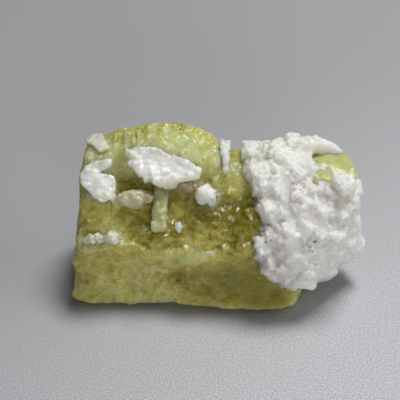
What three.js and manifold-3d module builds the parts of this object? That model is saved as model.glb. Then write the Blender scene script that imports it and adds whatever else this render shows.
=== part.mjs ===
// A hand specimen of brazilianite with albite feldspar grown on it, 42 mm wide.
// Millimetres: X to the right, Y to the back, Z up. The specimen rests on z = 0, and its
// outer box is centred on X and Y. Every crystal is convex or a union of convex blocks,
// and each block is given by its corner points.

import * as THREE from 'three';
import { ConvexGeometry } from 'three/addons/geometries/ConvexGeometry.js';
import { mergeVertices } from 'three/addons/utils/BufferGeometryUtils.js';
import Module from 'manifold-3d';

const wasm = await Module();
wasm.setup();

// ---- driving dimensions ----

const OUTER = new THREE.Vector3(42, 19, 21);  // width, depth and height of the whole specimen
const GAP = 0.3;              // clearance between a crystal and the socket it sits in
const ARCH_HEIGHT = 1.9;      // how far the front edge arches off the ground
const CLUSTER_SPACING = 5.2;  // about one small crystal for this many millimetres squared
const CLUSTER_CRYSTAL = new THREE.Vector3(3.0, 2.4, 2.8);  // a small albite crystal, mean size
const CLUSTER_OUTWARD = new THREE.Vector3(0.45, -0.75, 0.5).normalize();  // free side of the mass
const CLUSTER_LEAST_FACING = 0.12;  // faces turned further away than this carry no crystals
const CLUSTER_SINK = 0.45;    // how deep a small crystal's middle lies in the mass
const CLUSTER_SIZE_RANGE = [0.6, 1.2];   // least and most size, as shares of the mean
const CLUSTER_TURN = [0.35, 0.2, 0.5];   // the way the crystals share, as angles about X, Y and Z
const CLUSTER_TURN_SPREAD = 0.9;         // how far each one strays from it
const CUT_CORNER = 0.3;       // where a small crystal's cut corner starts, from -1 to 1 along its edge

const PRISM_FOOT = new THREE.Vector3(-8.0, 0.2, 15.4);
const PRISM_TIP = new THREE.Vector3(-8.5, -5.2, 11.7);
const PRISM_HALF_WIDTH = 0.95;
const PRISM_HALF_DEPTH = 0.8;
const PRISM_BEVEL = 0.45;     // length of the wedge that ends the prism
const PRISM_FOOT_SHARE = 0.7; // width left at the foot, as a share of the full width
const PRISM_TIP_SHARE = 0.55; // the same at the tip
const PRISM_SECTION = [       // the rhombic section with its bevelled edges, in half widths and depths
  [1, 0.35], [0.45, 1], [-0.45, 1], [-1, 0.35], [-1, -0.5], [-0.4, -1], [0.5, -1], [1, -0.45],
];
const PLATE_TAPER = 0.8;      // underside of a plate, as a share of its outline

// ---- finishes ----

const finish = (color, roughness) => new THREE.MeshStandardMaterial({ color, roughness, metalness: 0 });
const BRAZILIANITE = () => finish(0x8f8a45, 0.35);
const PALE_BRAZILIANITE = () => finish(0xb5af78, 0.2);
const ALBITE = () => finish(0xd8d6cc, 0.6);
const CREAM_ALBITE = () => finish(0xcfcbae, 0.6);
const PINK_FELDSPAR = () => finish(0xa39479, 0.6);
const ROUGH_CRUMB = () => finish(0x9d9272, 0.8);
const CLEAR = () => finish(0xd5dbe6, 0.1);

// ---- solids ----

/** A closed three.js geometry as a solid: only its positions are kept, with shared corners merged. */
function toSolid(geometry) {
  const bare = geometry.clone();
  bare.deleteAttribute('normal');
  bare.deleteAttribute('uv');
  const merged = mergeVertices(bare);
  return new wasm.Manifold(new wasm.Mesh({
    numProp: 3,
    vertProperties: new Float32Array(merged.attributes.position.array),
    triVerts: new Uint32Array(merged.index.array),
  }));
}

/** The solid back as a three.js geometry. */
function toGeometry(solid) {
  const mesh = solid.getMesh();
  const geometry = new THREE.BufferGeometry();
  geometry.setAttribute('position', new THREE.BufferAttribute(mesh.vertProperties, 3));
  geometry.setIndex(new THREE.BufferAttribute(mesh.triVerts, 1));
  geometry.computeVertexNormals();
  return geometry;
}

/** The convex block through its corner points. */
const block = (corners) => toSolid(new ConvexGeometry(corners.map((c) => new THREE.Vector3(...c))));

/** The same block grown by GAP on every side, as the hull of a small cube carried to each corner. */
function socket(corners) {
  const steps = [-GAP, GAP];
  const cube = steps.flatMap((x) => steps.flatMap((y) => steps.map((z) => [x, y, z])));
  return block(corners.flatMap(([x, y, z]) => cube.map(([i, j, k]) => [x + i, y + j, z + k])));
}

const joined = (solids) => solids.reduce((a, b) => a.add(b));

/** The largest body of a solid: slivers that the sockets cut loose fall away. */
const largestBody = (solid) => solid.decompose().sort((a, b) => b.volume() - a.volume())[0];

/** A plate: an outline on the crystal's surface, and the same outline sunk by `drop` and drawn in. */
function plate(outline, drop, drawnIn = PLATE_TAPER) {
  const middle = [0, 1, 2].map((k) => outline.reduce((sum, c) => sum + c[k], 0) / outline.length);
  const under = outline.map((c) => c.map((v, k) => middle[k] + (v - middle[k]) * drawnIn + drop[k]));
  return [...outline, ...under];
}

/** A rounded lump: the corners of a once divided icosahedron, stretched to three radii and turned. */
function lump(centre, radii, turn = [0, 0, 0]) {
  const ball = new THREE.IcosahedronGeometry(1, 1);
  const placed = new THREE.Matrix4().compose(
    new THREE.Vector3(...centre),
    new THREE.Quaternion().setFromEuler(new THREE.Euler(...turn)),
    new THREE.Vector3(...radii),
  );
  const position = ball.applyMatrix4(placed).attributes.position;
  return Array.from(
    { length: position.count },
    (_, i) => [position.getX(i), position.getY(i), position.getZ(i)],
  );
}

/** A rhombic prism from foot to tip with bevelled edges and a wedge at each end. */
function prism(foot, tip) {
  const along = tip.clone().sub(foot).normalize();
  const across = new THREE.Vector3(1, 0, 0).cross(along).normalize();
  const side = along.clone().cross(across);
  const at = (t, u, v) => foot.clone().lerp(tip, t)
    .addScaledVector(side, u * PRISM_HALF_WIDTH).addScaledVector(across, v * PRISM_HALF_DEPTH).toArray();
  const bevel = PRISM_BEVEL / foot.distanceTo(tip);
  const ring = (t, share) => PRISM_SECTION.map(([u, v]) => at(t, u * share, v * share));
  return [
    ...ring(bevel, 1), ...ring(0, PRISM_FOOT_SHARE),
    ...ring(1 - bevel, 1), ...ring(1, PRISM_TIP_SHARE),
  ];
}

// ---- the brazilianite crystal: convex growth blocks, each a list of corners ----

const CRYSTAL_BLOCKS = {
  leftFoot: [
    [-20.6, -6.3, 0.9], [-18.9, -7.5, 0.8], [-17.9, -8.0, 0.8], [-11.9, -8.1, 0.8], [-9.2, -7.5, 1.0],
    [-19.2, -4.1, 0], [-17.4, -4.9, 0], [-10.3, -5.1, 0], [-9.2, -4.7, 0],
    [-9.2, 8.1, 0], [-17.4, 7.7, 0], [-20.0, 5.1, 0.6], [-19.6, -3.1, 0],
    [-21.0, -5.7, 3.4], [-20.7, 5.3, 4.0], [-9.4, -7.8, 3.0],
    [-20.7, -4.7, 9.8], [-18.6, -6.2, 10.8], [-14.0, -6.4, 10.4], [-8.6, -6.5, 8.6],
    [-8.5, 8.9, 12], [-19.4, 7.3, 12],
  ],
  middle: [
    [-10.4, -8.1, 0.8], [1.0, -8.7, 0.8], [-10.4, -5.1, 0], [1.0, -5.3, 0], [1.0, 8.7, 0], [-10.4, 8.5, 0],
    [-10.4, -6.5, 9.0], [-6.0, -6.4, 7.4], [-2.0, -6.5, 8.2], [2.0, -6.9, 9.6], [2.0, 9.1, 11],
    [-10.4, 9.3, 10.5], [-6.0, 9.5, 5.5],
  ],
  rightFoot: [
    [-0.7, -8.5, 0.9], [2.0, -9.3, 0.8], [6.0, -9.5, 0.8], [10.1, -8.7, 0.8], [11.8, -6.3, 0.8],
    [12.5, -4.4, 0.9],
    [-0.5, -5.3, 0], [2.0, -5.9, 0], [6.0, -6.1, 0], [9.6, -5.7, 0], [11.4, -3.7, 0],
    [13.0, 0.5, 0], [12.2, 6.7, 0], [-0.5, 8.3, 0],
    [11.4, -7.7, 2.2], [14.8, -0.5, 3.2], [13.8, 7.1, 3.4],
    [-1.6, -6.9, 8.4], [4.6, -7.3, 10.8], [11.0, -7.1, 9.2], [14.8, -1.0, 11], [13.6, 7.3, 12],
    [-2.0, 8.9, 11],
  ],
  slope: [
    [-15.5, -5.3, 10.4], [-9.0, -5.2, 10.4], [-3.0, -5.7, 9.6], [5.0, -6.3, 10.9], [-15.5, -1.1, 13.0],
    [-9.0, -0.7, 13.5], [-1.0, -1.2, 13.2], [5.0, -1.5, 14.4], [-15.5, 2.3, 15.2], [-6.0, 2.1, 16.2],
    [5.0, 2.1, 16.8], [-15.5, 6.5, 9.0], [5.0, 6.5, 9.0], [-15.5, -5.1, 8.5], [5.0, -6.3, 8.5],
  ],
  shoulder: [
    [-20.4, -4.5, 10.2], [-15.2, -4.9, 10.5], [-20.0, -2.4, 14.6], [-15.4, -2.1, 14.6],
    [-19.6, 2.3, 18.2], [-14.6, 2.9, 18.5], [-19.1, 3.1, 19.0], [-18.9, 5.5, 19.3], [-18.1, 6.7, 19.3],
    [-14.0, 3.5, 19.6], [-13.0, 7.9, 20.2], [-19.3, 7.3, 11.0], [-12.0, 8.9, 10.5],
  ],
  dome: [
    [-17.6, 3.7, 19.2], [-16.0, 6.5, 19.9], [-12.7, 7.9, 20.5], [-10.8, 8.5, 20.9], [-7.6, 8.6, 21.0],
    [-4.6, 8.4, 20.7], [-2.5, 7.7, 20.2], [-0.6, 6.3, 19.6], [0.1, 5.3, 19.2],
    [-13.5, 3.2, 19.5], [-9.0, 2.9, 19.8], [-4.6, 1.7, 18.3], [-1.0, 1.4, 17.6], [0.2, 2.3, 17.8],
    [-17.8, 2.3, 12.0], [-14.0, 1.9, 12.5], [-2.0, 0.9, 14.0], [0.4, 2.5, 12.0],
    [1.2, 8.9, 11.0], [-7.0, 9.5, 12.5], [-18.4, 7.7, 11.0],
  ],
  saddle: [
    [-3.0, -2.1, 12.4], [-1.5, 0.7, 15.6], [0.6, 1.9, 16.9], [8.0, 1.5, 17.3], [1.2, 6.5, 17.7],
    [8.0, 6.7, 18.0], [-3.0, 9.0, 11.0], [8.0, 7.9, 9.0], [8.0, -3.7, 12.0], [0.0, -4.1, 11.6],
  ],
  rightBack: [
    [5.0, 6.4, 18.0], [12.0, 6.5, 18.0], [16.8, 6.1, 17.9], [18.5, 4.8, 17.6], [19.0, 0.1, 17.4],
    [18.9, -1.3, 16.4], [6.0, -1.1, 16.8], [5.0, -2.5, 10.0], [17.8, -1.5, 5.2], [18.6, 4.3, 6.2],
    [15.8, 7.3, 5.0], [13.6, 7.3, 1.8], [12.0, -1.5, 3.0], [5.0, 7.9, 2.0], [6.0, 8.1, 12.0],
  ],
};

/** The hollow beneath, which leaves the crystal standing on its left and right feet and its back. */
const ARCH = [
  [-9.6, -10.5, -1], [-0.6, -10.5, -1], [-1.6, 3.5, -1], [-7.6, 3.5, -1],
  [-9.6, -10.5, 0.6], [-0.6, -10.5, 0.6],
  [-8.0, -10.5, ARCH_HEIGHT], [-2.6, -10.5, ARCH_HEIGHT],
  [-6.8, -4.0, ARCH_HEIGHT], [-3.4, -4.0, ARCH_HEIGHT],
];

// ---- the pieces grown on it ----

const SMALL_PIECES = {
  albite_ledge: {
    finish: ALBITE,
    corners: plate([
      [-13.1, 2.8, 19.4], [-11.6, 3.2, 19.9], [-9.5, 3.4, 20.0], [-8.0, 2.9, 19.8], [-4.3, 1.4, 18.8],
      [-2.5, 0.3, 18.0], [-2.9, -0.3, 17.6], [-4.6, -0.2, 17.8], [-6.1, -1.1, 17.2], [-8.3, -1.6, 16.9],
      [-10.1, -0.5, 17.5], [-11.8, 0.2, 17.9], [-12.7, 1.4, 18.6],
    ], [-0.2, 0.6, -1.9], 0.78),
  },
  albite_shoulder: {
    finish: ALBITE,
    corners: plate([
      [-19.2, 0.9, 17.9], [-17.2, 1.6, 18.4], [-15.4, 2.0, 18.7], [-15.0, 0.9, 17.9], [-14.2, -1.2, 16.6],
      [-14.6, -2.3, 15.6], [-16.9, -2.9, 15.1], [-18.2, -2.4, 15.6], [-19.2, -1.2, 16.4],
    ], [0.2, 1.1, -1.6], 0.7),
  },
  albite_corner: {
    finish: CREAM_ALBITE,
    corners: plate([
      [-19.0, 5.4, 19.6], [-18.0, 6.3, 19.8], [-16.6, 6.4, 20.1], [-15.4, 3.2, 19.8], [-16.6, 2.8, 19.6],
      [-17.8, 4.1, 19.7],
    ], [0, 0, -1.0]),
  },
  feldspar_lobe: {
    finish: PINK_FELDSPAR,
    corners: lump([-11.7, -1.7, 14.5], [2.8, 1.3, 1.25], [0.5, 0, 0.12]),
  },
  albite_centre_grain: {
    finish: ALBITE,
    corners: lump([-2.0, -1.0, 14.5], [1.45, 1.3, 1.5], [0.3, 0.5, 0.2]),
  },
  albite_notch_wedge: {
    finish: ALBITE,
    corners: [
      [0.3, 6.1, 19.3], [1.0, 6.0, 19.2], [1.5, 4.5, 18.4], [0.1, 3.7, 19.0], [0.0, 2.1, 17.8],
      [1.3, 2.4, 17.9], [0.6, 1.0, 16.9], [1.0, 1.3, 16.4], [0.4, 4.3, 16.6], [1.4, 4.9, 16.8],
    ],
  },
  albite_front_grains: {
    finish: ALBITE,
    corners: lump([-16.4, -5.7, 10.9], [2.5, 0.85, 0.95], [0.3, 0.08, 0]),
  },
  rough_crumb: {
    finish: ROUGH_CRUMB,
    corners: lump([-4.7, -0.4, 15.7], [1.2, 1.0, 1.1], [0.2, 0.4, 0.7]),
  },
  clear_crystal: {
    finish: CLEAR,
    corners: lump([-5.7, -4.7, 11.9], [0.5, 0.5, 0.75], [0.6, 0, 0.4]),
  },
  brazilianite_prism: {
    finish: PALE_BRAZILIANITE,
    corners: prism(PRISM_FOOT, PRISM_TIP),
  },
};

/** The body of the white mass: an upper and a right block, a darker one left of the crease, a bridge. */
const CLUSTER_BLOCKS = {
  upper: [
    [3.2, 5.3, 18.2], [3.6, 2.7, 17.6], [8.8, 6.1, 18.9], [12.4, 5.9, 18.7], [12.9, 2.9, 17.9],
    [5.0, -0.5, 16.4], [5.4, -3.1, 14.6], [13.0, -1.7, 16.8], [7.0, 1.5, 12.0], [12.0, 1.5, 12.0],
  ],
  right: [
    [10.0, -4.1, 15.0], [15.6, -1.4, 16.8], [18.8, -2.1, 15.6], [10.6, -8.7, 8.6], [11.2, -9.1, 3.5],
    [14.4, -5.4, 3.0], [15.9, -4.5, 3.0], [18.0, -3.2, 3.2], [19.7, -1.9, 4.2], [20.4, -1.7, 7.3],
    [19.9, -1.5, 11.5], [19.3, -1.1, 16.4], [15.2, -7.1, 8.4], [17.8, -4.4, 9.0], [12.0, -0.5, 4.6],
    [12.0, 0.5, 12.0], [18.6, 1.7, 8.4], [13.2, -6.7, 12.4],
  ],
  left: [
    [5.2, -3.1, 13.9], [4.6, -5.3, 12.2], [4.6, -7.8, 10.6], [5.2, -8.9, 7.4], [5.7, -9.3, 6.3],
    [9.4, -9.5, 5.2], [11.0, -9.4, 3.7], [10.6, -8.9, 9.0], [10.2, -6.1, 13.4], [8.0, -1.5, 14.8],
    [7.0, -4.5, 7.0], [11.0, -3.5, 7.0],
  ],
  bridge: [
    [5.6, -1.0, 16.2], [12.8, 2.9, 17.8], [15.9, 2.0, 17.9], [17.2, 0.7, 17.9], [19.2, 0.3, 17.5],
    [5.6, -4.7, 13.2], [10.5, -5.9, 13.6], [16.0, -4.3, 14.0], [19.0, -2.5, 14.6], [8.0, -0.5, 11.0],
    [16.0, 0.5, 12.0],
  ],
};

/** The row of crystals along the top edge, from the mass towards the right end. */
const TOP_ROW = [[11.2, 5.7, 18.2], [12.9, 5.8, 18.3], [14.5, 5.7, 18.2], [16.0, 5.5, 18.0]];
const TOP_ROW_TURN = 0.3;     // each crystal of the row is turned this much further than the last
const TOP_ROW_CRYSTAL = [1.15, 0.75, 0.75];

/** A knob of crystals standing proud of the right end. */
const KNOB = lump([20.2, -0.4, 9.2], [0.8, 1.2, 1.1], [0.2, 0, 0]);

/** A small crystal: a box of the given half sizes with its front top corner cut back, turned and moved. */
function crystalCorners(centre, half, turn) {
  const cut = CUT_CORNER;
  const corners = [
    [-1, -1, -1], [1, -1, -1], [-1, 1, -1], [1, 1, -1], [-1, 1, 1], [1, 1, 1], [-1, -1, 1],
    [cut, -1, 1], [1, -cut, 1], [1, -1, cut],
  ];
  const rotation = new THREE.Euler(...turn);
  const scale = new THREE.Vector3(...half);
  return corners.map((c) => (
    new THREE.Vector3(...c).multiply(scale).applyEuler(rotation).add(centre).toArray()
  ));
}

const WAVE = { index: 12.9898, salt: 78.233, height: 43758.5453 };
const BLOCK_STRIDE = 1000;    // each block's crystals are numbered from here on
const FACE_STRIDE = 7;        // and each face's from here on within the block

/** A repeatable number from 0 to 1: the fractional part of a sine of the index and a salt. */
const chance = (index, salt) => {
  const wave = Math.sin(index * WAVE.index + salt * WAVE.salt) * WAVE.height;
  return wave - Math.floor(wave);
};

/** Small crystals spread over the free faces of one block of the mass. */
function crystalsOn(corners, firstIndex) {
  const faces = new ConvexGeometry(corners.map((c) => new THREE.Vector3(...c))).attributes.position;
  const crystals = [];
  for (let i = 0; i < faces.count; i += 3) {
    const ends = [0, 1, 2].map((k) => new THREE.Vector3().fromBufferAttribute(faces, i + k));
    const triangle = new THREE.Triangle(...ends);
    const normal = triangle.getNormal(new THREE.Vector3());
    if (normal.dot(CLUSTER_OUTWARD) < CLUSTER_LEAST_FACING) continue;
    const count = Math.round(triangle.getArea() / CLUSTER_SPACING);
    for (let n = 0; n < count; n += 1) {
      const index = firstIndex + i * FACE_STRIDE + n;
      const root = Math.sqrt(chance(index, 1));
      const share = chance(index, 2);
      const at = triangle.a.clone().multiplyScalar(1 - root)
        .addScaledVector(triangle.b, root * (1 - share)).addScaledVector(triangle.c, root * share)
        .addScaledVector(normal, -CLUSTER_SINK);
      const shares = [0, 1, 2].map((k) => THREE.MathUtils.lerp(...CLUSTER_SIZE_RANGE, chance(index, 3 + k)));
      const half = CLUSTER_CRYSTAL.toArray().map((size, k) => 0.5 * size * shares[k]);
      const turn = CLUSTER_TURN.map((mean, k) => mean + CLUSTER_TURN_SPREAD * (chance(index, 6 + k) - 0.5));
      crystals.push(crystalCorners(at, half, turn));
    }
  }
  return crystals;
}

/** Every convex block of the white mass: its body, the crystals grown on it, the top row and the knob. */
function clusterBlocks() {
  const bodies = Object.values(CLUSTER_BLOCKS);
  const grown = bodies.flatMap((corners, n) => crystalsOn(corners, n * BLOCK_STRIDE));
  const row = TOP_ROW.map((centre, n) => (
    crystalCorners(new THREE.Vector3(...centre), TOP_ROW_CRYSTAL, [0, 0, TOP_ROW_TURN * n])
  ));
  return [...bodies, ...grown, ...row, KNOB];
}

// ---- assembly ----

const specimen = new THREE.Group();
specimen.name = 'brazilianite_specimen';

function addPiece(name, solid, material) {
  const mesh = new THREE.Mesh(toGeometry(solid), material);
  mesh.name = name;
  specimen.add(mesh);
}

/** The box that no crystal of the mass may leave, so the specimen keeps its stated size. */
function outerBox() {
  const box = new THREE.BoxGeometry(...OUTER);
  box.translate(0, 0, OUTER.z / 2);
  return toSolid(box);
}

/** Pieces are set in order: each keeps clear of the sockets of the ones before it. */
let taken = block(ARCH);

function setPiece(name, solid, sockets, material) {
  addPiece(name, largestBody(solid.subtract(taken)), material);
  taken = joined([taken, ...sockets]);
}

Object.entries(SMALL_PIECES).forEach(([name, { corners, finish: finishOf }]) => {
  setPiece(name, block(corners), [socket(corners)], finishOf());
});

const cluster = clusterBlocks();
setPiece('albite_cluster', joined(cluster.map(block)).intersect(outerBox()), cluster.map(socket), ALBITE());
setPiece('brazilianite_crystal', joined(Object.values(CRYSTAL_BLOCKS).map(block)), [], BRAZILIANITE());

export default specimen;
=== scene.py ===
"""The looks of a brazilianite hand specimen with albite feldspar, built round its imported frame.

Every solid here is a field on a lattice of points: negative inside, positive outside, and worked
out from convex blocks, small grown crystals and noise. Its surface is taken off the lattice by
surface nets. Lengths are in millimetres until a mesh is made, in metres. The noise scales of the
finishes are per metre.
"""

import logging
import math
from dataclasses import dataclass, field
from enum import Enum, IntEnum

import bmesh
import bpy
import numpy as np
from mathutils import Euler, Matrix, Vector


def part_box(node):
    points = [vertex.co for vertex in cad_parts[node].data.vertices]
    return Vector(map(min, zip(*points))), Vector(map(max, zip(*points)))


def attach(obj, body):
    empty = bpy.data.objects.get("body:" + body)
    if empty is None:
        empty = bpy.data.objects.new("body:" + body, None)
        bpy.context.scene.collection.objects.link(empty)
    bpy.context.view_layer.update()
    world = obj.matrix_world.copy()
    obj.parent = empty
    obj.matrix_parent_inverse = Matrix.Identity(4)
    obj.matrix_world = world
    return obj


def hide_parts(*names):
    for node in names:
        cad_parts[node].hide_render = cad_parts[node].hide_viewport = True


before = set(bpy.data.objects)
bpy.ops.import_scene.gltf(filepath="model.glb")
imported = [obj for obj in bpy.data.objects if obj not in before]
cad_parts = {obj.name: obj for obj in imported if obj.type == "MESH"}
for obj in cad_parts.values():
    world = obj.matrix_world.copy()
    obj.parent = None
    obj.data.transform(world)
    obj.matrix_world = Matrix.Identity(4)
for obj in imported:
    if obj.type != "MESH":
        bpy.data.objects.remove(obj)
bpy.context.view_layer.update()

LOG = logging.getLogger("specimen")
MM = 0.001

Array = np.ndarray
Triple = tuple[float, float, float]
Pair = tuple[float, float]
Colour = tuple[float, float, float, float]


# ---------------------------------------------------------------- numbers over whole arrays

def smooth(value: Array, low: float, high: float) -> Array:
    """A soft step: 0 below low, 1 above high, and 3t^2 - 2t^3 between.

    Args:
        value: the numbers to step.
        low: where the step starts.
        high: where it ends; below low, the step falls instead.

    Returns:
        Numbers from 0 to 1, of value's shape.
    """
    t = np.clip((value - low) / (high - low), 0.0, 1.0)
    return t * t * (3.0 - 2.0 * t)


class Noise:
    """Smooth noise: random numbers on a repeating cubic lattice, blended between its corners."""

    SIDE = 64
    LAYER_SHIFT = 7.3
    CONTRAST = 1.6

    def __init__(self, seed: int) -> None:
        """Draws the lattice's numbers.

        Args:
            seed: the same seed gives the same noise.
        """
        self.values = np.random.default_rng(seed).uniform(-1.0, 1.0, (self.SIDE,) * 3).astype(np.float32)

    def at(self, points: Array, size: float | Triple) -> Array:
        """The noise at points: the eight corners round each one, blended by 3t^2 - 2t^3.

        Args:
            points: n x 3 places.
            size: the lattice's cell, one length or one for each axis.

        Returns:
            n numbers from -1 to 1.
        """
        place = points / np.asarray(size, float)
        cell = np.floor(place).astype(np.int64)
        part = place - cell
        part = part * part * (3.0 - 2.0 * part)
        low, high = cell % self.SIDE, (cell + 1) % self.SIDE
        total = np.zeros(len(points))
        for corner in range(8):
            pick = [(corner >> k) & 1 for k in range(3)]
            index = [np.where(pick[k], high[:, k], low[:, k]) for k in range(3)]
            share = [part[:, k] if pick[k] else 1.0 - part[:, k] for k in range(3)]
            total += self.values[index[0], index[1], index[2]] * share[0] * share[1] * share[2]
        return total

    def layered(self, points: Array, size: float | Triple, layers: int = 3, fall: float = 0.5) -> Array:
        """Layers of noise, each half as large in cell and `fall` as strong as the one before.

        Args:
            points: n x 3 places.
            size: the first layer's cell.
            layers: how many layers.
            fall: strength of each layer over the one before.

        Returns:
            n numbers, mostly from -1 to 1.
        """
        total, strength, reach = np.zeros(len(points)), 1.0, 0.0
        for layer in range(layers):
            cell = np.asarray(size, float) / 2 ** layer
            total += strength * self.at(points + self.LAYER_SHIFT * layer, cell)
            reach += strength
            strength *= fall
        return total / reach * self.CONTRAST


def drift(seed: int, points: Array, size: float | Triple, layers: int) -> Array:
    """Three unlike noises side by side, to bend places by.

    Args:
        seed: of the first noise; the others follow it.
        points: n x 3 places.
        size: the first layer's cell.
        layers: how many layers.

    Returns:
        n x 3 numbers, mostly from -1 to 1.
    """
    return np.stack([Noise(seed + k).layered(points, size, layers) for k in range(3)], axis=1)


class Cells:
    """Random seeds, one in each cell of a repeating cubic lattice, each with its own traits."""

    SIDE = 32

    def __init__(self, seed: int) -> None:
        """Draws each seed's place in its cell and its four traits.

        Args:
            seed: the same seed gives the same cells.
        """
        dice = np.random.default_rng(seed)
        self.shift = dice.uniform(0.1, 0.9, (self.SIDE,) * 3 + (3,))
        self.traits = dice.uniform(-1.0, 1.0, (self.SIDE,) * 3 + (4,))

    def facets(self, points: Array, size: float | Triple, rise: float = 0.35, tilt: float = 0.7) -> Array:
        """Faceted relief: the highest of the leaning domes that stand on the cells' seeds.

        Each seed's dome is its own height plus a slope across it, less the squared distance.

        Args:
            points: n x 3 places.
            size: the lattice's cell, one length or one for each axis.
            rise: how much the seeds' heights differ.
            tilt: how steeply the facets lean.

        Returns:
            n heights, mostly from -1 to 1.
        """
        place = points / np.asarray(size, float)
        base = np.floor(place).astype(np.int64)
        best = np.full(len(points), -np.inf)
        for step in np.ndindex(3, 3, 3):
            cell = base + np.array(step) - 1
            i, j, k = (cell % self.SIDE).T
            offset = place - cell - self.shift[i, j, k]
            traits = self.traits[i, j, k]
            height = rise * traits[:, 0] + tilt * np.einsum("ij,ij->i", offset, traits[:, 1:4])
            best = np.maximum(best, height - np.einsum("ij,ij->i", offset, offset))
        return best


# ---------------------------------------------------------------- solids on a lattice

@dataclass(frozen=True)
class Planes:
    """A convex block as the planes that bound it: inside, normal . p <= offset."""

    LEAST_SIDE = 1e-6

    normals: Array
    offsets: Array
    low: Array
    high: Array

    @classmethod
    def through(cls, corners: tuple[Triple, ...]) -> "Planes":
        """The planes of the hull of some corners, leaving out sides of no area.

        Args:
            corners: the block's corner points.

        Returns:
            One plane for each differently facing side.
        """
        hull = bmesh.new()
        for corner in corners:
            hull.verts.new(corner)
        bmesh.ops.convex_hull(hull, input=hull.verts)
        hull.normal_update()
        middle = np.mean(corners, axis=0)
        sides = [side for side in hull.faces if side.calc_area() > cls.LEAST_SIDE]
        found = np.array([[*side.normal, side.normal.dot(side.verts[0].co)] for side in sides])
        hull.free()
        flip = found[:, :3] @ middle > found[:, 3]
        found[flip] *= -1.0
        _, keep = np.unique(np.round(found, 2), axis=0, return_index=True)
        return cls(found[keep, :3], found[keep, 3], np.min(corners, axis=0), np.max(corners, axis=0))

    @classmethod
    def crystal(cls, centre: Array, half: Array, turn: Array, bevel: float) -> "Planes":
        """A small blocky crystal: a box with two opposite edges and one corner cut back.

        Args:
            centre: its middle.
            half: its half sizes.
            turn: 3 x 3 rotation.
            bevel: how far the cuts reach in, as a share of the half sizes.

        Returns:
            Its nine planes.
        """
        sides = np.vstack([np.eye(3), -np.eye(3), [[1, 0, 1], [-1, 0, -1], [1, -1, 1]]]) / half
        reach = np.array([1.0] * 6 + [2.0 - bevel] * 2 + [3.0 - 1.6 * bevel])
        length = np.linalg.norm(sides, axis=1)
        normals = sides / length[:, None] @ turn.T
        span = np.abs(turn) @ half
        return cls(normals, reach / length + normals @ centre, centre - span, centre + span)

    def depth(self, points: Array, rounding: float) -> Array:
        """How far outside the block points are, negative inside.

        It is the soft greatest k log sum exp(d / k) of the distances d to the planes, which rounds
        the block's edges by about k.

        Args:
            points: n x 3 places.
            rounding: k, in millimetres; 0 leaves the edges sharp.

        Returns:
            n distances.
        """
        away = points @ self.normals.T.astype(np.float32) - self.offsets.astype(np.float32)
        most = away.max(axis=1)
        if not rounding:
            return most
        return most + rounding * np.log(np.exp((away - most[:, None]) / rounding).sum(axis=1))


@dataclass
class Skin:
    """A closed surface of quads, its points in millimetres."""

    points: Array
    quads: Array

    def normals(self) -> Array:
        """Unit outward normals at the points: the summed cross products of each quad's diagonals.

        Returns:
            n x 3 unit vectors.
        """
        a, b, c, d = (self.points[self.quads[:, k]] for k in range(4))
        across = np.cross(c - a, d - b)
        total = np.stack([
            sum(np.bincount(self.quads[:, k], across[:, axis], len(self.points)) for k in range(4))
            for axis in range(3)
        ], axis=1)
        return total / np.maximum(np.linalg.norm(total, axis=1), 1e-12)[:, None]

    def evened(self, values: Array, rounds: int, share: float = 0.5) -> Array:
        """Values evened out over the surface: each moves towards its neighbours' mean.

        Args:
            values: n numbers, or n x 3.
            rounds: how many times.
            share: how far each value moves.

        Returns:
            The evened values, of the same shape.
        """
        first = self.quads.ravel()
        second = np.roll(self.quads, -1, axis=1).ravel()
        weight = np.maximum(np.bincount(first, minlength=len(self.points)), 1)
        columns = values.reshape(len(values), -1).T.copy()
        for _ in range(rounds):
            for column in columns:
                column += share * (np.bincount(first, column[second], len(column)) / weight - column)
        return columns.T.reshape(values.shape)

    def raised(self, rounds: int) -> Array:
        """How far each point stands above the evened surface: positive on ridges, negative in hollows."""
        lift = self.points - self.evened(self.points, rounds)
        return np.einsum("ij,ij->i", lift, self.normals())


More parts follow.
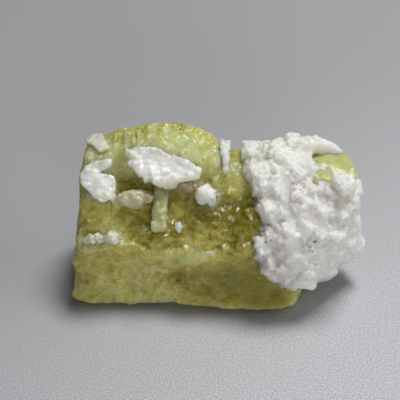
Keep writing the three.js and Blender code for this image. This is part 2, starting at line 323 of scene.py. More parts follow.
class Lattice:
    """A block of evenly spaced points with one number at each: negative inside the solid."""

    FAR = 9.0
    SPARE = 2

    def __init__(self, low: Array, high: Array, spacing: float) -> None:
        """Lays out the points, with SPARE to spare on every side.

        Args:
            low: the solid's lowest corner.
            high: its highest corner.
            spacing: distance between points.
        """
        self.spacing = spacing
        self.counts = np.ceil((high - low) / spacing).astype(int) + 2 * self.SPARE + 1
        self.low = (low + high) / 2 - (self.counts - 1) / 2 * spacing
        self.values = np.full(self.counts, self.FAR, np.float32)

    def line(self, axis: int) -> Array:
        """The places of the points along one axis."""
        return self.low[axis] + self.spacing * np.arange(self.counts[axis])

    def points(self, window: tuple[slice, ...] = (slice(None),) * 3) -> Array:
        """The places of the points of a window.

        Args:
            window: the points wanted, as a slice for each axis; all of them unless given.

        Returns:
            n x 3 places.
        """
        mesh = np.meshgrid(*(self.line(axis)[window[axis]] for axis in range(3)), indexing="ij")
        return np.stack([axis.ravel() for axis in mesh], axis=1).astype(np.float32)

    def window(self, centre: Array, reach: float) -> tuple[slice, ...]:
        """The points within reach of a centre along every axis.

        Args:
            centre: a place.
            reach: how far from it, in millimetres.

        Returns:
            A slice for each axis.
        """
        first = np.floor((centre - reach - self.low) / self.spacing).astype(int)
        last = np.ceil((centre + reach - self.low) / self.spacing).astype(int) + 1
        return tuple(slice(max(a, 0), max(b, 0)) for a, b in zip(first, last))

    def keep_within(self, low: Array, high: Array) -> None:
        """Cuts the solid to a box.

        Args:
            low: the box's lowest corner.
            high: its highest corner.
        """
        for axis in range(3):
            line = self.line(axis)
            outside = np.maximum(low[axis] - line, line - high[axis]).astype(np.float32)
            shape = [1, 1, 1]
            shape[axis] = -1
            np.maximum(self.values, outside.reshape(shape), out=self.values)

    def near(self, reach: float) -> Array:
        """Which points lie within reach of the surface, as flat indices."""
        return np.flatnonzero(np.abs(self.values.ravel()) < reach)

    def melt(self, rounds: int) -> None:
        """Softens the solid: each number moves halfway to the mean of its six neighbours.

        Args:
            rounds: how many times.
        """
        for _ in range(rounds):
            mean = sum(np.roll(self.values, step, axis) for axis in range(3) for step in (-1, 1)) / 6.0
            self.values += 0.5 * (mean - self.values)

    def surface(self) -> Skin:
        """The surface where the field is zero, by surface nets.

        A lattice cell whose corners differ in sign gets one vertex, at the mean of the places where
        the field is zero along its twelve edges: a / (a - b) of the way from value a to value b.
        Each lattice edge whose ends differ joins the vertices of the four cells round it in a quad.

        Returns:
            The surface, its quads facing outwards.
        """
        values = self.values
        for axis in range(3):
            edge = np.moveaxis(values, axis, 0)
            edge[0] = edge[-1] = self.FAR
        inside = values < 0
        size = self.counts - 1
        corners = sum(
            inside[i:i + size[0], j:j + size[1], k:k + size[2]].astype(np.uint8)
            for i, j, k in np.ndindex(2, 2, 2)
        )
        mixed = (corners > 0) & (corners < 8)
        cells = np.argwhere(mixed)
        number = np.full(mixed.shape, -1, np.int32)
        number[mixed] = np.arange(len(cells))
        total, crossings = np.zeros((len(cells), 3)), np.zeros(len(cells))
        for axis in range(3):
            along = np.eye(3, dtype=int)[axis]
            for side in np.ndindex(2, 2):
                start = np.insert(side, axis, 0)
                a = values[tuple((cells + start).T)]
                b = values[tuple((cells + start + along).T)]
                crossed = (a < 0) != (b < 0)
                share = np.where(crossed, a / np.where(crossed, a - b, 1.0), 0.0)
                total += crossed[:, None] * (cells + start + share[:, None] * along)
                crossings += crossed
        points = self.low + self.spacing * total / crossings[:, None]
        return Skin(points, np.concatenate([self.walls(inside, number, axis) for axis in range(3)]))

    def walls(self, inside: Array, number: Array, axis: int) -> Array:
        """The quads that cross the lattice edges along one axis.

        Args:
            inside: which lattice points are inside.
            number: the vertex number of each cell.
            axis: 0, 1 or 2.

        Returns:
            m x 4 vertex numbers.
        """
        others = [k for k in range(3) if k != axis]
        inner = [slice(1, -1)] * 3
        inner[axis] = slice(None, -1)
        ahead = list(inner)
        ahead[axis] = slice(1, None)
        start, end = inside[tuple(inner)], inside[tuple(ahead)]
        edges = np.argwhere(start != end)
        leaving = start[tuple(edges.T)]
        edges[:, others] += 1
        ring = []
        for u, v in ((-1, -1), (0, -1), (0, 0), (-1, 0)):
            cell = edges.copy()
            cell[:, others] += (u, v)
            ring.append(number[tuple(cell.T)])
        quads = np.stack(ring, axis=1)
        keep = leaving != (axis == 1)
        return np.where(keep[:, None], quads, quads[:, ::-1])


# ---------------------------------------------------------------- meshes and the frame

def node_box(node: str) -> tuple[Array, Array]:
    """A CAD node's lowest and highest corners, in millimetres."""
    low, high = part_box(node)
    return np.array(low) / MM, np.array(high) / MM


def fitted(points: Array, node: str) -> Array:
    """Points stretched a little so that their box is exactly the CAD node's.

    Args:
        points: n x 3, in millimetres.
        node: the node whose box they take.

    Returns:
        The stretched points.
    """
    low, high = node_box(node)
    least, most = points.min(axis=0), points.max(axis=0)
    return low + (points - least) / (most - least) * (high - low)


def make_object(name: str, points: Array, quads: Array,
                attributes: dict[str, Array] | None = None) -> bpy.types.Object:
    """A smooth-shaded mesh object at the origin.

    Args:
        name: its name.
        points: n x 3 vertices, in millimetres.
        quads: m x 4 vertex numbers, each face turned outwards.
        attributes: numbers for each vertex, by name.

    Returns:
        The object, linked into the scene.
    """
    mesh = bpy.data.meshes.new(name)
    sides = quads.shape[1]
    mesh.vertices.add(len(points))
    mesh.vertices.foreach_set("co", (points * MM).astype(np.float32).ravel())
    mesh.loops.add(quads.size)
    mesh.loops.foreach_set("vertex_index", quads.astype(np.int32).ravel())
    mesh.polygons.add(len(quads))
    mesh.polygons.foreach_set("loop_start", np.arange(0, quads.size, sides, dtype=np.int32))
    mesh.update(calc_edges=True)
    mesh.validate()
    mesh.shade_smooth()
    for key, values in (attributes or {}).items():
        layer = mesh.attributes.new(key, "FLOAT", "POINT")
        layer.data.foreach_set("value", values.astype(np.float32))
    made = bpy.data.objects.new(name, mesh)
    bpy.context.scene.collection.objects.link(made)
    return made


# ---------------------------------------------------------------- node groups and finishes

Socket = bpy.types.NodeSocket
Sockets = bpy.types.bpy_prop_collection


class Nodes:
    """Places nodes in a material or group, one call a node."""

    def __init__(self, tree: bpy.types.NodeTree) -> None:
        """Works in this node tree."""
        self.tree = tree

    def add(self, kind: str, settings: dict | None = None, **inputs: object) -> bpy.types.Node:
        """Adds a node.

        Args:
            kind: its type.
            settings: properties to set on it.
            inputs: values or sockets for its inputs, by name with _ for spaces.

        Returns:
            The node.
        """
        node = self.tree.nodes.new(kind)
        for key, value in (settings or {}).items():
            setattr(node, key, value)
        for key, value in inputs.items():
            self.feed(node.inputs[key.replace("_", " ")], value)
        return node

    def feed(self, socket: Socket, value: object) -> None:
        """Links a socket to an input, or sets its value.

        Args:
            socket: the input.
            value: a socket or a plain value.
        """
        if isinstance(value, bpy.types.NodeSocket):
            self.tree.links.new(value, socket)
        else:
            socket.default_value = value

    def math(self, operation: str, *values: object) -> Socket:
        """A Math node.

        Args:
            operation: what it works out.
            values: one, two or three values or sockets.

        Returns:
            Its result.
        """
        node = self.add("ShaderNodeMath", {"operation": operation})
        for socket, value in zip(node.inputs, values):
            self.feed(socket, value)
        return node.outputs[0]

    def total(self, *terms: tuple[Socket, float]) -> Socket:
        """A weighted sum.

        Args:
            terms: sockets, each with its weight.

        Returns:
            The sum.
        """
        (first, weight), *others = terms
        result = self.math("MULTIPLY", first, weight)
        for value, share in others:
            result = self.math("ADD", result, self.math("MULTIPLY", value, share))
        return result

    def vector(self, operation: str, first: object, second: object) -> Socket:
        """A Vector Math node.

        Args:
            operation: what it works out.
            first: a vector or socket.
            second: the other one.

        Returns:
            Its result: a number for a dot product, otherwise a vector.
        """
        node = self.add("ShaderNodeVectorMath", {"operation": operation})
        self.feed(node.inputs[0], first)
        self.feed(node.inputs["Scale" if operation == "SCALE" else 1], second)
        return node.outputs["Value" if operation == "DOT_PRODUCT" else "Vector"]

    def blend(self, share: object, first: object, second: object, mode: str = "MIX") -> Socket:
        """A colour mix.

        Args:
            share: how much of the second colour, from 0 to 1.
            first: the first colour.
            second: the second colour.
            mode: how the second is laid on the first.

        Returns:
            The mixed colour.
        """
        node = self.tree.nodes.new("ShaderNodeMix")
        node.data_type = "RGBA"
        node.blend_type = mode
        self.feed(node.inputs[0], share)
        self.feed(node.inputs[6], first)
        self.feed(node.inputs[7], second)
        return node.outputs[2]

    def remap(self, value: object, low: float, high: float, to_low: float = 0.0, to_high: float = 1.0,
              kind: str = "SMOOTHSTEP") -> Socket:
        """A number carried from one range to another.

        Args:
            value: the number.
            low: where its range starts.
            high: where it ends.
            to_low: the result at low.
            to_high: the result at high.
            kind: how the result goes between them, smooth unless given.

        Returns:
            The result.
        """
        node = self.add("ShaderNodeMapRange", {"interpolation_type": kind})
        for socket, number in zip(node.inputs, (value, low, high, to_low, to_high)):
            self.feed(socket, number)
        return node.outputs[0]

    def use(self, group: bpy.types.ShaderNodeTree, **inputs: object) -> bpy.types.Node:
        """Places a node group with its own input values.

        Args:
            group: the group.
            inputs: values or sockets for its inputs.

        Returns:
            The group's node.
        """
        return self.add("ShaderNodeGroup", {"node_tree": group}, **inputs)

    def noise(self, place: Socket, scale: object, detail: float = 2.0, roughness: float = 0.5,
              bend: object = 0.0) -> bpy.types.Node:
        """A Noise Texture node.

        Args:
            place: where on the piece.
            scale: how fine it is, per metre.
            detail: how many layers.
            roughness: each layer's strength over the one before.
            bend: how far the noise bends itself.

        Returns:
            The node.
        """
        return self.add("ShaderNodeTexNoise", Vector=place, Scale=scale, Detail=detail, Roughness=roughness,
                        Distortion=bend)

    def attribute(self, name: str) -> Socket:
        """A vertex attribute's number."""
        return self.add("ShaderNodeAttribute", {"attribute_name": name}).outputs["Fac"]

    def place(self) -> Socket:
        """Object coordinates."""
        return self.add("ShaderNodeTexCoord").outputs["Object"]


def colour(red: float, green: float, blue: float) -> Colour:
    """An opaque colour, linear."""
    return (red, green, blue, 1.0)


def new_group(name: str, inputs: dict[str, float],
              outputs: tuple[str, ...]) -> tuple[Nodes, Sockets, Sockets]:
    """An empty shader node group.

    Args:
        name: its name.
        inputs: its float inputs and their defaults; a "Place" vector input is always first.
        outputs: the names of its float outputs.

    Returns:
        Its node helper, the sockets that give its inputs and the sockets that take its outputs.
    """
    group = bpy.data.node_groups.new(name, "ShaderNodeTree")
    group.interface.new_socket("Place", in_out="INPUT", socket_type="NodeSocketVector")
    for key, value in inputs.items():
        socket = group.interface.new_socket(key, in_out="INPUT", socket_type="NodeSocketFloat")
        socket.default_value = value
    for key in outputs:
        group.interface.new_socket(key, in_out="OUTPUT", socket_type="NodeSocketFloat")
    nodes = Nodes(group)
    return nodes, nodes.add("NodeGroupInput").outputs, nodes.add("NodeGroupOutput").inputs


class Groups:
    """The shader node groups that the finishes share, each built once."""

    def __init__(self) -> None:
        """Builds the groups."""
        self.grain = self._grain()
        self.veils = self._veils()
        self.sparkle = self._sparkle()
        self.specks = self._specks()
        self.chips = self._chips()

    def _grain(self) -> bpy.types.ShaderNodeTree:
        """Mottling and fine relief: two scales of noise as a mask, and their sum as a height.

        Returns:
            The group: Place, Size and Detail in, Mottle and Height out.
        """
        nodes, given, result = new_group("mineral_grain", {"Size": 1000.0, "Detail": 4.0},
                                         ("Mottle", "Height"))
        coarse = nodes.noise(given["Place"], given["Size"], 3.0, 0.6).outputs["Fac"]
        finer = nodes.math("MULTIPLY", given["Size"], given["Detail"])
        fine = nodes.noise(given["Place"], finer, 3.0, 0.65).outputs["Fac"]
        nodes.feed(result["Mottle"], nodes.remap(coarse, 0.35, 0.65))
        nodes.feed(result["Height"], nodes.math("ADD", nodes.math("MULTIPLY", coarse, 0.6), fine))
        return nodes.tree

    def _veils(self) -> bpy.types.ShaderNodeTree:
        """Healed cracks and hazy veils: thin lines where bent noise crosses its middle, in patches.

        A line's strength is 1 - |n - 0.5| / width, and a slower noise keeps it to patches.

        Returns:
            The group: Place, Size, Width and Bend in, Lines and Haze out.
        """
        nodes, given, result = new_group("inner_veils", {"Size": 400.0, "Width": 0.03, "Bend": 1.5},
                                         ("Lines", "Haze"))
        place, size = given["Place"], given["Size"]
        lines = nodes.noise(place, size, 4.0, 0.6, given["Bend"]).outputs["Fac"]
        away = nodes.math("ABSOLUTE", nodes.math("SUBTRACT", lines, 0.5))
        line = nodes.math("SUBTRACT", 1.0, nodes.math("DIVIDE", away, given["Width"]))
        slow = nodes.noise(place, nodes.math("MULTIPLY", size, 0.7)).outputs["Fac"]
        patch = nodes.remap(slow, 0.45, 0.62)
        nodes.feed(result["Lines"], nodes.math("MULTIPLY", nodes.math("MAXIMUM", line, 0.0), patch))
        haze = nodes.noise(place, nodes.math("MULTIPLY", size, 1.3), 5.0, 0.7, given["Bend"]).outputs["Fac"]
        nodes.feed(result["Haze"], nodes.remap(haze, 0.42, 0.72))
        return nodes.tree

    def _sparkle(self) -> bpy.types.ShaderNodeTree:
        """Tiny bright faces, for painted glints: a small dot in the few cells whose own number is above a
        limit.

        Returns:
            The group: Place, Size, Rarity and Reach in, Mask out.
        """
        nodes, given, result = new_group("sparkle", {"Size": 1800.0, "Rarity": 0.9, "Reach": 0.3}, ("Mask",))
        cells = nodes.add("ShaderNodeTexVoronoi", Vector=given["Place"], Scale=given["Size"])
        number = nodes.add("ShaderNodeSeparateColor", Color=cells.outputs["Color"])
        chosen = nodes.math("GREATER_THAN", number.outputs["Red"], given["Rarity"])
        dot = nodes.math("LESS_THAN", cells.outputs["Distance"], given["Reach"])
        nodes.feed(result["Mask"], nodes.math("MULTIPLY", chosen, dot))
        return nodes.tree

    def _specks(self) -> bpy.types.ShaderNodeTree:
        """Dark mineral dust: ragged specks where fine noise is strong.

        Returns:
            The group: Place, Size and Limit in, Mask out.
        """
        nodes, given, result = new_group("dark_specks", {"Size": 1500.0, "Limit": 0.66}, ("Mask",))
        dust = nodes.noise(given["Place"], given["Size"]).outputs["Fac"]
        over = nodes.math("SUBTRACT", dust, given["Limit"])
        nodes.feed(result["Mask"], nodes.remap(over, 0.0, 0.05))
        return nodes.tree

    def _chips(self) -> bpy.types.ShaderNodeTree:
        """Small flat broken faces: each cell is a plane tilted its own way, with its own tone.

        The height at a place is (place - cell's middle) . (cell's random direction), in metres.

        Returns:
            The group: Place, Size and Bend in, Height and Tone out.
        """
        nodes, given, result = new_group("chips", {"Size": 1000.0, "Bend": 0.5}, ("Height", "Tone"))
        size, half = given["Size"], (0.5, 0.5, 0.5)
        waves = nodes.noise(given["Place"], size).outputs["Color"]
        reach = nodes.math("DIVIDE", given["Bend"], size)
        bend = nodes.vector("SCALE", nodes.vector("SUBTRACT", waves, half), reach)
        place = nodes.vector("ADD", given["Place"], bend)
        cells = nodes.add("ShaderNodeTexVoronoi", Vector=place, Scale=size)
        away = nodes.vector("SUBTRACT", place, cells.outputs["Position"])
        lean = nodes.vector("SUBTRACT", cells.outputs["Color"], half)
        nodes.feed(result["Height"], nodes.vector("DOT_PRODUCT", away, lean))
        number = nodes.add("ShaderNodeSeparateColor", Color=cells.outputs["Color"])
        nodes.feed(result["Tone"], number.outputs["Green"])
        return nodes.tree


def broken_faces(nodes: Nodes, groups: Groups, place: Socket,
                 layers: tuple[Triple, Triple]) -> tuple[Socket, Socket]:
    """Two sizes of small broken faces, laid over each other.

    Args:
        nodes: the material's node helper.
        groups: the shared node groups.
        place: where on the piece.
        layers: each size's scale, bend and share of the tone.

    Returns:
        Their tone and their height.
    """
    faces = [nodes.use(groups.chips, Place=place, Size=size, Bend=bend) for size, bend, _ in layers]
    tone = nodes.total(*((face.outputs["Tone"], layer[2]) for face, layer in zip(faces, layers)))
    return tone, nodes.math("ADD", *(face.outputs["Height"] for face in faces))


def new_material(name: str) -> tuple[bpy.types.Material, Nodes, bpy.types.Node]:
    """A material with only a Principled BSDF and its output.

    Args:
        name: its name.

    Returns:
        The material, its node helper and the BSDF.
    """
    material = bpy.data.materials.new(name)
    material.use_nodes = True
    material.node_tree.nodes.clear()
    nodes = Nodes(material.node_tree)
    shader = nodes.add("ShaderNodeBsdfPrincipled")
    output = nodes.add("ShaderNodeOutputMaterial")
    nodes.feed(output.inputs["Surface"], shader.outputs["BSDF"])
    return material, nodes, shader


@dataclass(frozen=True)
class BrazilianiteFinish:
    """Translucent yellow-green crystal: pale and frosted where broken, gemmy and olive where whole.

    The colour follows one level, the `pale` attribute and fine markings together: deep at 0, middle
    at a half and pale at 1.
    """

    name: str = "brazilianite"
    deep: Colour = colour(0.27, 0.24, 0.014)
    middle: Colour = colour(0.85, 0.775, 0.24)
    pale: Colour = colour(0.92, 0.95, 0.50)
    dust: Colour = colour(0.88, 0.88, 0.64)
    stain_and_shade: Colour = colour(0.16, 0.09, 0.02)
    fresh: Colour = colour(0.92, 0.97, 0.86)
    glint: Colour = colour(0.98, 0.97, 0.62)
    mottle: float = 0.07
    veils: float = 0.3
    threads: float = 0.22
    chips: tuple[Triple, Triple] = ((850.0, 0.7, 0.04), (2100.0, 0.9, 0.05))
    marked_where_gemmy: float = 0.4
    marked_where_threaded: float = 2.4
    smoothest: float = 0.18
    roughest: float = 0.35
    polish_of_glints: float = 0.2
    grain_height: float = 0.00008
    relief: float = 0.6
    relief_where_gemmy: float = 0.2
    transmission: float = 0.45
    ior: float = 1.6
    specular: float = 0.25
    absorb: Colour = colour(0.90, 0.85, 0.25)
    density: float = 150.0
    glow: Triple = (1.0, 0.88, 0.25)
    depth: float = 0.003

    def make(self, groups: Groups) -> bpy.types.Material:
        """Builds the material.

        Args:
            groups: the shared node groups.

        Returns:
            The material.
        """
        material, nodes, shader = new_material(self.name)
        place, gemmy, dust = nodes.place(), nodes.attribute("gemmy"), nodes.attribute("dust")
        grain = nodes.use(groups.grain, Place=place, Size=1300.0, Detail=3.0)
        veils = nodes.use(groups.veils, Place=place, Size=800.0, Width=0.035, Bend=1.2)
        threads = nodes.use(groups.veils, Place=place, Size=1700.0, Width=0.05, Bend=0.8)
        sparkle = nodes.use(groups.sparkle, Place=place, Size=2600.0, Rarity=0.94, Reach=0.35)
        tone, facets = broken_faces(nodes, groups, place, self.chips)
        less = nodes.remap(gemmy, 0.0, 1.0, 1.0, self.marked_where_gemmy)
        more = nodes.remap(nodes.attribute("threaded"), 0.0, 1.0, 1.0, self.marked_where_threaded)
        marked = nodes.math("MULTIPLY", less, more)
        mottle = grain.outputs["Mottle"]
        patches = nodes.math("MULTIPLY", nodes.math("SUBTRACT", mottle, 0.5), self.mottle)
        mean_tone = sum(layer[2] for layer in self.chips) / 2
        patches = nodes.math("ADD", patches, nodes.math("SUBTRACT", tone, mean_tone))
        lines = nodes.total((veils.outputs["Lines"], self.veils), (threads.outputs["Lines"], self.threads))
        markings = nodes.math("MULTIPLY", nodes.math("ADD", patches, lines), marked)
        level = nodes.math("ADD", nodes.attribute("pale"), markings)
        glint = nodes.math("MULTIPLY", sparkle.outputs["Mask"], marked)
        glint = nodes.math("MINIMUM", nodes.math("MULTIPLY", glint, veils.outputs["Haze"]), 1.0)
        nodes.feed(shader.inputs["Base Color"], self.colouring(nodes, level, mottle, dust, glint))
        rough = nodes.remap(nodes.math("MAXIMUM", level, dust), 0.2, 1.0, self.smoothest, self.roughest)
        rough = nodes.math("SUBTRACT", rough, nodes.math("MULTIPLY", glint, self.polish_of_glints))
        nodes.feed(shader.inputs["Roughness"], rough)
        height = nodes.math("ADD", nodes.math("MULTIPLY", grain.outputs["Height"], self.grain_height), facets)
        height = nodes.math("MULTIPLY", height, nodes.remap(gemmy, 0.0, 1.0, 1.0, self.relief_where_gemmy))
        bump = nodes.add("ShaderNodeBump", Height=height, Strength=self.relief, Distance=1.0)
        nodes.feed(shader.inputs["Normal"], bump.outputs["Normal"])
        self.body(material, nodes, shader)
        return material

    def colouring(self, nodes: Nodes, level: Socket, mottle: Socket, dust: Socket, glint: Socket) -> Socket:
        """The surface's colour.

        Args:
            nodes: the material's node helper.
            level: how pale the crystal is.
            mottle: fine patches, which break up the dust.
            dust: how thick white dust lies.
            glint: where tiny faces shine, painted near white into the colour as highlights.

        Returns:
            The colour.
        """
        base = nodes.blend(nodes.remap(level, 0.0, 0.5, kind="LINEAR"), self.deep, self.middle)
        base = nodes.blend(nodes.remap(level, 0.5, 1.0, kind="LINEAR"), base, self.pale)
        base = nodes.blend(nodes.attribute("fresh"), base, self.fresh, "MULTIPLY")
        # A brown stain, and painted shade in the hollows.
        base = nodes.blend(nodes.attribute("stain_and_shade"), base, self.stain_and_shade)
        powder = nodes.math("MULTIPLY", dust, nodes.remap(mottle, 0.0, 1.0, 0.3, 1.0))
        # Painted highlight: the glint dots are painted near white over the colour.
        return nodes.blend(glint, nodes.blend(powder, base, self.dust), self.glint)

    def body(self, material: bpy.types.Material, nodes: Nodes, shader: bpy.types.Node) -> None:
        """What is the same all through the crystal: how it carries, scatters and absorbs light.

        Args:
            material: the material.
            nodes: its node helper.
            shader: its BSDF.
        """
        shader.inputs["Transmission Weight"].default_value = self.transmission
        shader.inputs["IOR"].default_value = self.ior
        shader.inputs["Specular IOR Level"].default_value = self.specular
        shader.inputs["Subsurface Weight"].default_value = 1.0
        shader.inputs["Subsurface Radius"].default_value = self.glow
        shader.inputs["Subsurface Scale"].default_value = self.depth
        absorb = nodes.add("ShaderNodeVolumeAbsorption", Color=self.absorb, Density=self.density)
        output = material.node_tree.nodes["Material Output"]
        nodes.feed(output.inputs["Volume"], absorb.outputs["Volume"])


@dataclass(frozen=True)
class FeldsparFinish:
    """Milky feldspar: light scatters just under its surface, and small faces glint, painted near white into
    the colour as highlights.
    """

    name: str
    base: Colour
    tint: Colour
    shade: Colour = colour(0.40, 0.36, 0.26)
    green: Colour = colour(0.74, 0.77, 0.52)
    speck: Colour = colour(0.10, 0.10, 0.09)
    glint: Colour = colour(0.95, 0.95, 0.93)
    chips: tuple[Triple, Triple] = ((1100.0, 0.6, 0.4), (2600.0, 0.8, 0.6))
    roughness: float = 0.32
    glint_roughness: float = 0.15
    grain_height: float = 0.00006
    relief: float = 0.85
    glow: Triple = (1.0, 0.95, 0.85)
    depth: float = 0.0028

    def make(self, groups: Groups) -> bpy.types.Material:
        """Builds the material.

        Args:
            groups: the shared node groups.

        Returns:
            The material.
        """
        material, nodes, shader = new_material(self.name)
        place, coarse = nodes.place(), nodes.attribute("coarse")
        grain = nodes.use(groups.grain, Place=place, Size=900.0, Detail=4.0)
        glint = nodes.use(groups.sparkle, Place=place, Size=2400.0, Rarity=0.93, Reach=0.35).outputs["Mask"]
        specks = nodes.use(groups.specks, Place=place, Size=1700.0, Limit=0.565).outputs["Mask"]
        tone, facets = broken_faces(nodes, groups, place, self.chips)
        tone = nodes.math("MULTIPLY", nodes.math("ADD", tone, grain.outputs["Mottle"]), 0.5)
        base = nodes.blend(nodes.math("MULTIPLY", tone, coarse), self.base, self.tint)
        base = nodes.blend(nodes.attribute("shade"), base, self.shade)
        base = nodes.blend(nodes.attribute("green"), base, self.green)
        base = nodes.blend(nodes.math("MULTIPLY", specks, nodes.attribute("specks")), base, self.speck)
        # Painted highlight: the glint dots are painted near white over the colour.
        nodes.feed(shader.inputs["Base Color"], nodes.blend(glint, base, self.glint))
        rough = nodes.remap(glint, 0.0, 1.0, self.roughness, self.glint_roughness)
        nodes.feed(shader.inputs["Roughness"], rough)
        shader.inputs["Subsurface Weight"].default_value = 1.0
        shader.inputs["Subsurface Radius"].default_value = self.glow
        shader.inputs["Subsurface Scale"].default_value = self.depth
        height = nodes.math("ADD", nodes.math("MULTIPLY", grain.outputs["Height"], self.grain_height), facets)
        height = nodes.math("MULTIPLY", height, coarse)
        bump = nodes.add("ShaderNodeBump", Height=height, Strength=self.relief, Distance=1.0)
        nodes.feed(shader.inputs["Normal"], bump.outputs["Normal"])
        return material


# ---------------------------------------------------------------- the brazilianite crystal

CRYSTAL_BLOCKS: dict[str, tuple[Triple, ...]] = {
    "left foot": (
        (-20.6, -6.3, 0.45), (-18.9, -7.5, 0.45), (-17.9, -8.0, 0.45), (-11.9, -8.1, 0.45),
        (-9.2, -7.5, 1.0), (-19.2, -4.1, 0), (-17.4, -4.9, 0), (-10.3, -5.1, 0), (-9.2, -4.7, 0),
        (-9.2, 8.1, 0), (-17.4, 7.7, 0), (-20.0, 5.1, 0.6), (-19.6, -3.1, 0), (-21.0, -5.7, 3.4),
        (-20.7, 5.3, 4.0), (-9.4, -7.8, 3.0), (-20.7, -4.7, 9.8), (-18.6, -6.2, 10.8),
        (-14.0, -6.4, 10.4), (-8.6, -6.5, 8.6), (-8.5, 8.9, 12), (-19.4, 7.3, 12),
    ),
    "middle": (
        (-10.4, -8.1, 0.55), (1.0, -8.7, 0.55), (-10.4, -5.1, 0), (1.0, -5.3, 0), (1.0, 8.7, 0),
        (-10.4, 8.5, 0), (-10.4, -6.5, 9.0), (-6.0, -6.4, 7.4), (-2.0, -6.5, 8.2), (2.0, -6.9, 9.6),
        (2.0, 9.1, 11), (-10.4, 9.3, 10.5), (-6.0, 9.5, 5.5),
    ),
    "right foot": (
        (-0.7, -8.5, 0.50), (2.0, -9.3, 0.50), (6.0, -9.5, 0.50), (10.1, -8.7, 0.50),
        (11.8, -6.3, 0.50), (12.5, -4.4, 0.50), (-0.5, -5.3, 0), (2.0, -5.9, 0), (6.0, -6.1, 0),
        (9.6, -5.7, 0), (11.4, -3.7, 0), (13.0, 0.5, 0), (12.2, 6.7, 0), (-0.5, 8.3, 0),
        (11.4, -7.7, 2.2), (14.8, -0.5, 3.2), (13.8, 7.1, 3.4), (-1.6, -6.9, 8.4), (4.6, -7.3, 10.8),
        (11.0, -7.1, 9.2), (14.8, -1.0, 11), (13.6, 7.3, 12), (-2.0, 8.9, 11),
    ),
    "slope": (
        (-15.5, -5.3, 10.4), (-9.0, -5.2, 10.4), (-3.0, -5.7, 9.6), (5.0, -6.3, 10.9),
        (-15.5, -1.1, 13.0), (-9.0, -0.7, 13.5), (-1.0, -1.2, 13.2), (5.0, -1.5, 14.4),
        (-15.5, 2.3, 15.2), (-6.0, 2.1, 16.2), (5.0, 2.1, 16.8), (-15.5, 6.5, 9.0), (5.0, 6.5, 9.0),
        (-15.5, -5.1, 8.5), (5.0, -6.3, 8.5),
    ),
    "shoulder": (
        (-20.4, -4.5, 10.2), (-15.2, -4.9, 10.5), (-20.0, -2.4, 14.6), (-15.4, -2.1, 14.6),
        (-19.6, 2.3, 18.2), (-14.6, 2.9, 18.5), (-19.1, 3.1, 19.0), (-18.9, 5.5, 19.3),
        (-18.1, 6.7, 19.3), (-14.0, 3.5, 19.6), (-13.0, 7.9, 20.2), (-19.3, 7.3, 11.0),
        (-12.0, 8.9, 10.5),
    ),
    "dome": (
        (-17.6, 3.7, 19.2), (-16.0, 6.5, 19.9), (-12.7, 7.9, 20.5), (-10.8, 8.5, 20.9),
        (-7.6, 8.6, 21.0), (-4.6, 8.4, 20.7), (-2.5, 7.7, 20.2), (-0.6, 6.3, 19.6), (0.1, 5.3, 19.2),
        (-13.5, 3.2, 19.5), (-9.0, 2.9, 19.8), (-4.6, 1.7, 18.3), (-1.0, 1.4, 17.6), (0.2, 2.3, 17.8),
        (-17.8, 2.3, 12.0), (-14.0, 1.9, 12.5), (-2.0, 0.9, 14.0), (0.4, 2.5, 12.0), (1.2, 8.9, 11.0),
        (-7.0, 9.5, 12.5), (-18.4, 7.7, 11.0),
    ),
    "back": (
        (-13.0, 8.6, 9.0), (1.6, 8.9, 9.5), (-12.0, 8.7, 13.5), (0.8, 8.7, 13.0), (-13.0, 4.0, 9.0),
        (1.6, 4.0, 9.5), (-12.0, 4.0, 13.5), (0.8, 4.0, 13.0), (-6.0, 9.2, 11.0),
    ),
    "saddle": (
        (-3.0, -2.1, 12.4), (-1.5, 0.7, 15.6), (0.6, 1.9, 16.9), (8.0, 1.5, 17.3), (1.2, 6.5, 17.7),
        (8.0, 6.7, 18.0), (-3.0, 9.0, 11.0), (8.0, 7.9, 9.0), (8.0, -3.7, 12.0), (0.0, -4.1, 11.6),
    ),
    "right back": (
        (5.0, 6.4, 18.0), (12.0, 6.5, 18.0), (16.8, 6.1, 17.9), (18.5, 4.8, 17.6), (19.0, 0.1, 17.4),
        (18.9, -1.3, 16.4), (6.0, -1.1, 16.8), (5.0, -2.5, 10.0), (17.8, -1.5, 5.2), (18.6, 4.3, 6.2),
        (15.8, 7.3, 5.0), (13.6, 7.3, 1.8), (12.0, -1.5, 3.0), (5.0, 7.9, 2.0), (6.0, 8.1, 12.0),
    ),
}


@dataclass(frozen=True)
class Spot:
    """A soft round region: 1 in its middle, exp(-d^2) at d radii from it.

    Its middle is given in shares of a CAD node's box, its radii in millimetres.
    """

    node: str
    share: Triple
    radii: Triple
    strength: float = 1.0

    def middle(self) -> Array:
        """The region's middle, in millimetres."""
        low, high = node_box(self.node)
        return low + (high - low) * np.array(self.share)

    def at(self, points: Array) -> Array:
        """The region's strength at points."""
        away = (points - self.middle()) / np.array(self.radii)
        return self.strength * np.exp(-np.einsum("ij,ij->i", away, away))


def on(node: str, *rows: tuple) -> tuple[Spot, ...]:
    """Several regions of one node, each by its middle, its radii and, where it isn't 1, its strength."""
    return tuple(Spot(node, *row) for row in rows)


def spots(points: Array, regions: tuple[Spot, ...]) -> Array:
    """The sum of several regions' strengths at points."""
    return sum((region.at(points) for region in regions), np.zeros(len(points)))


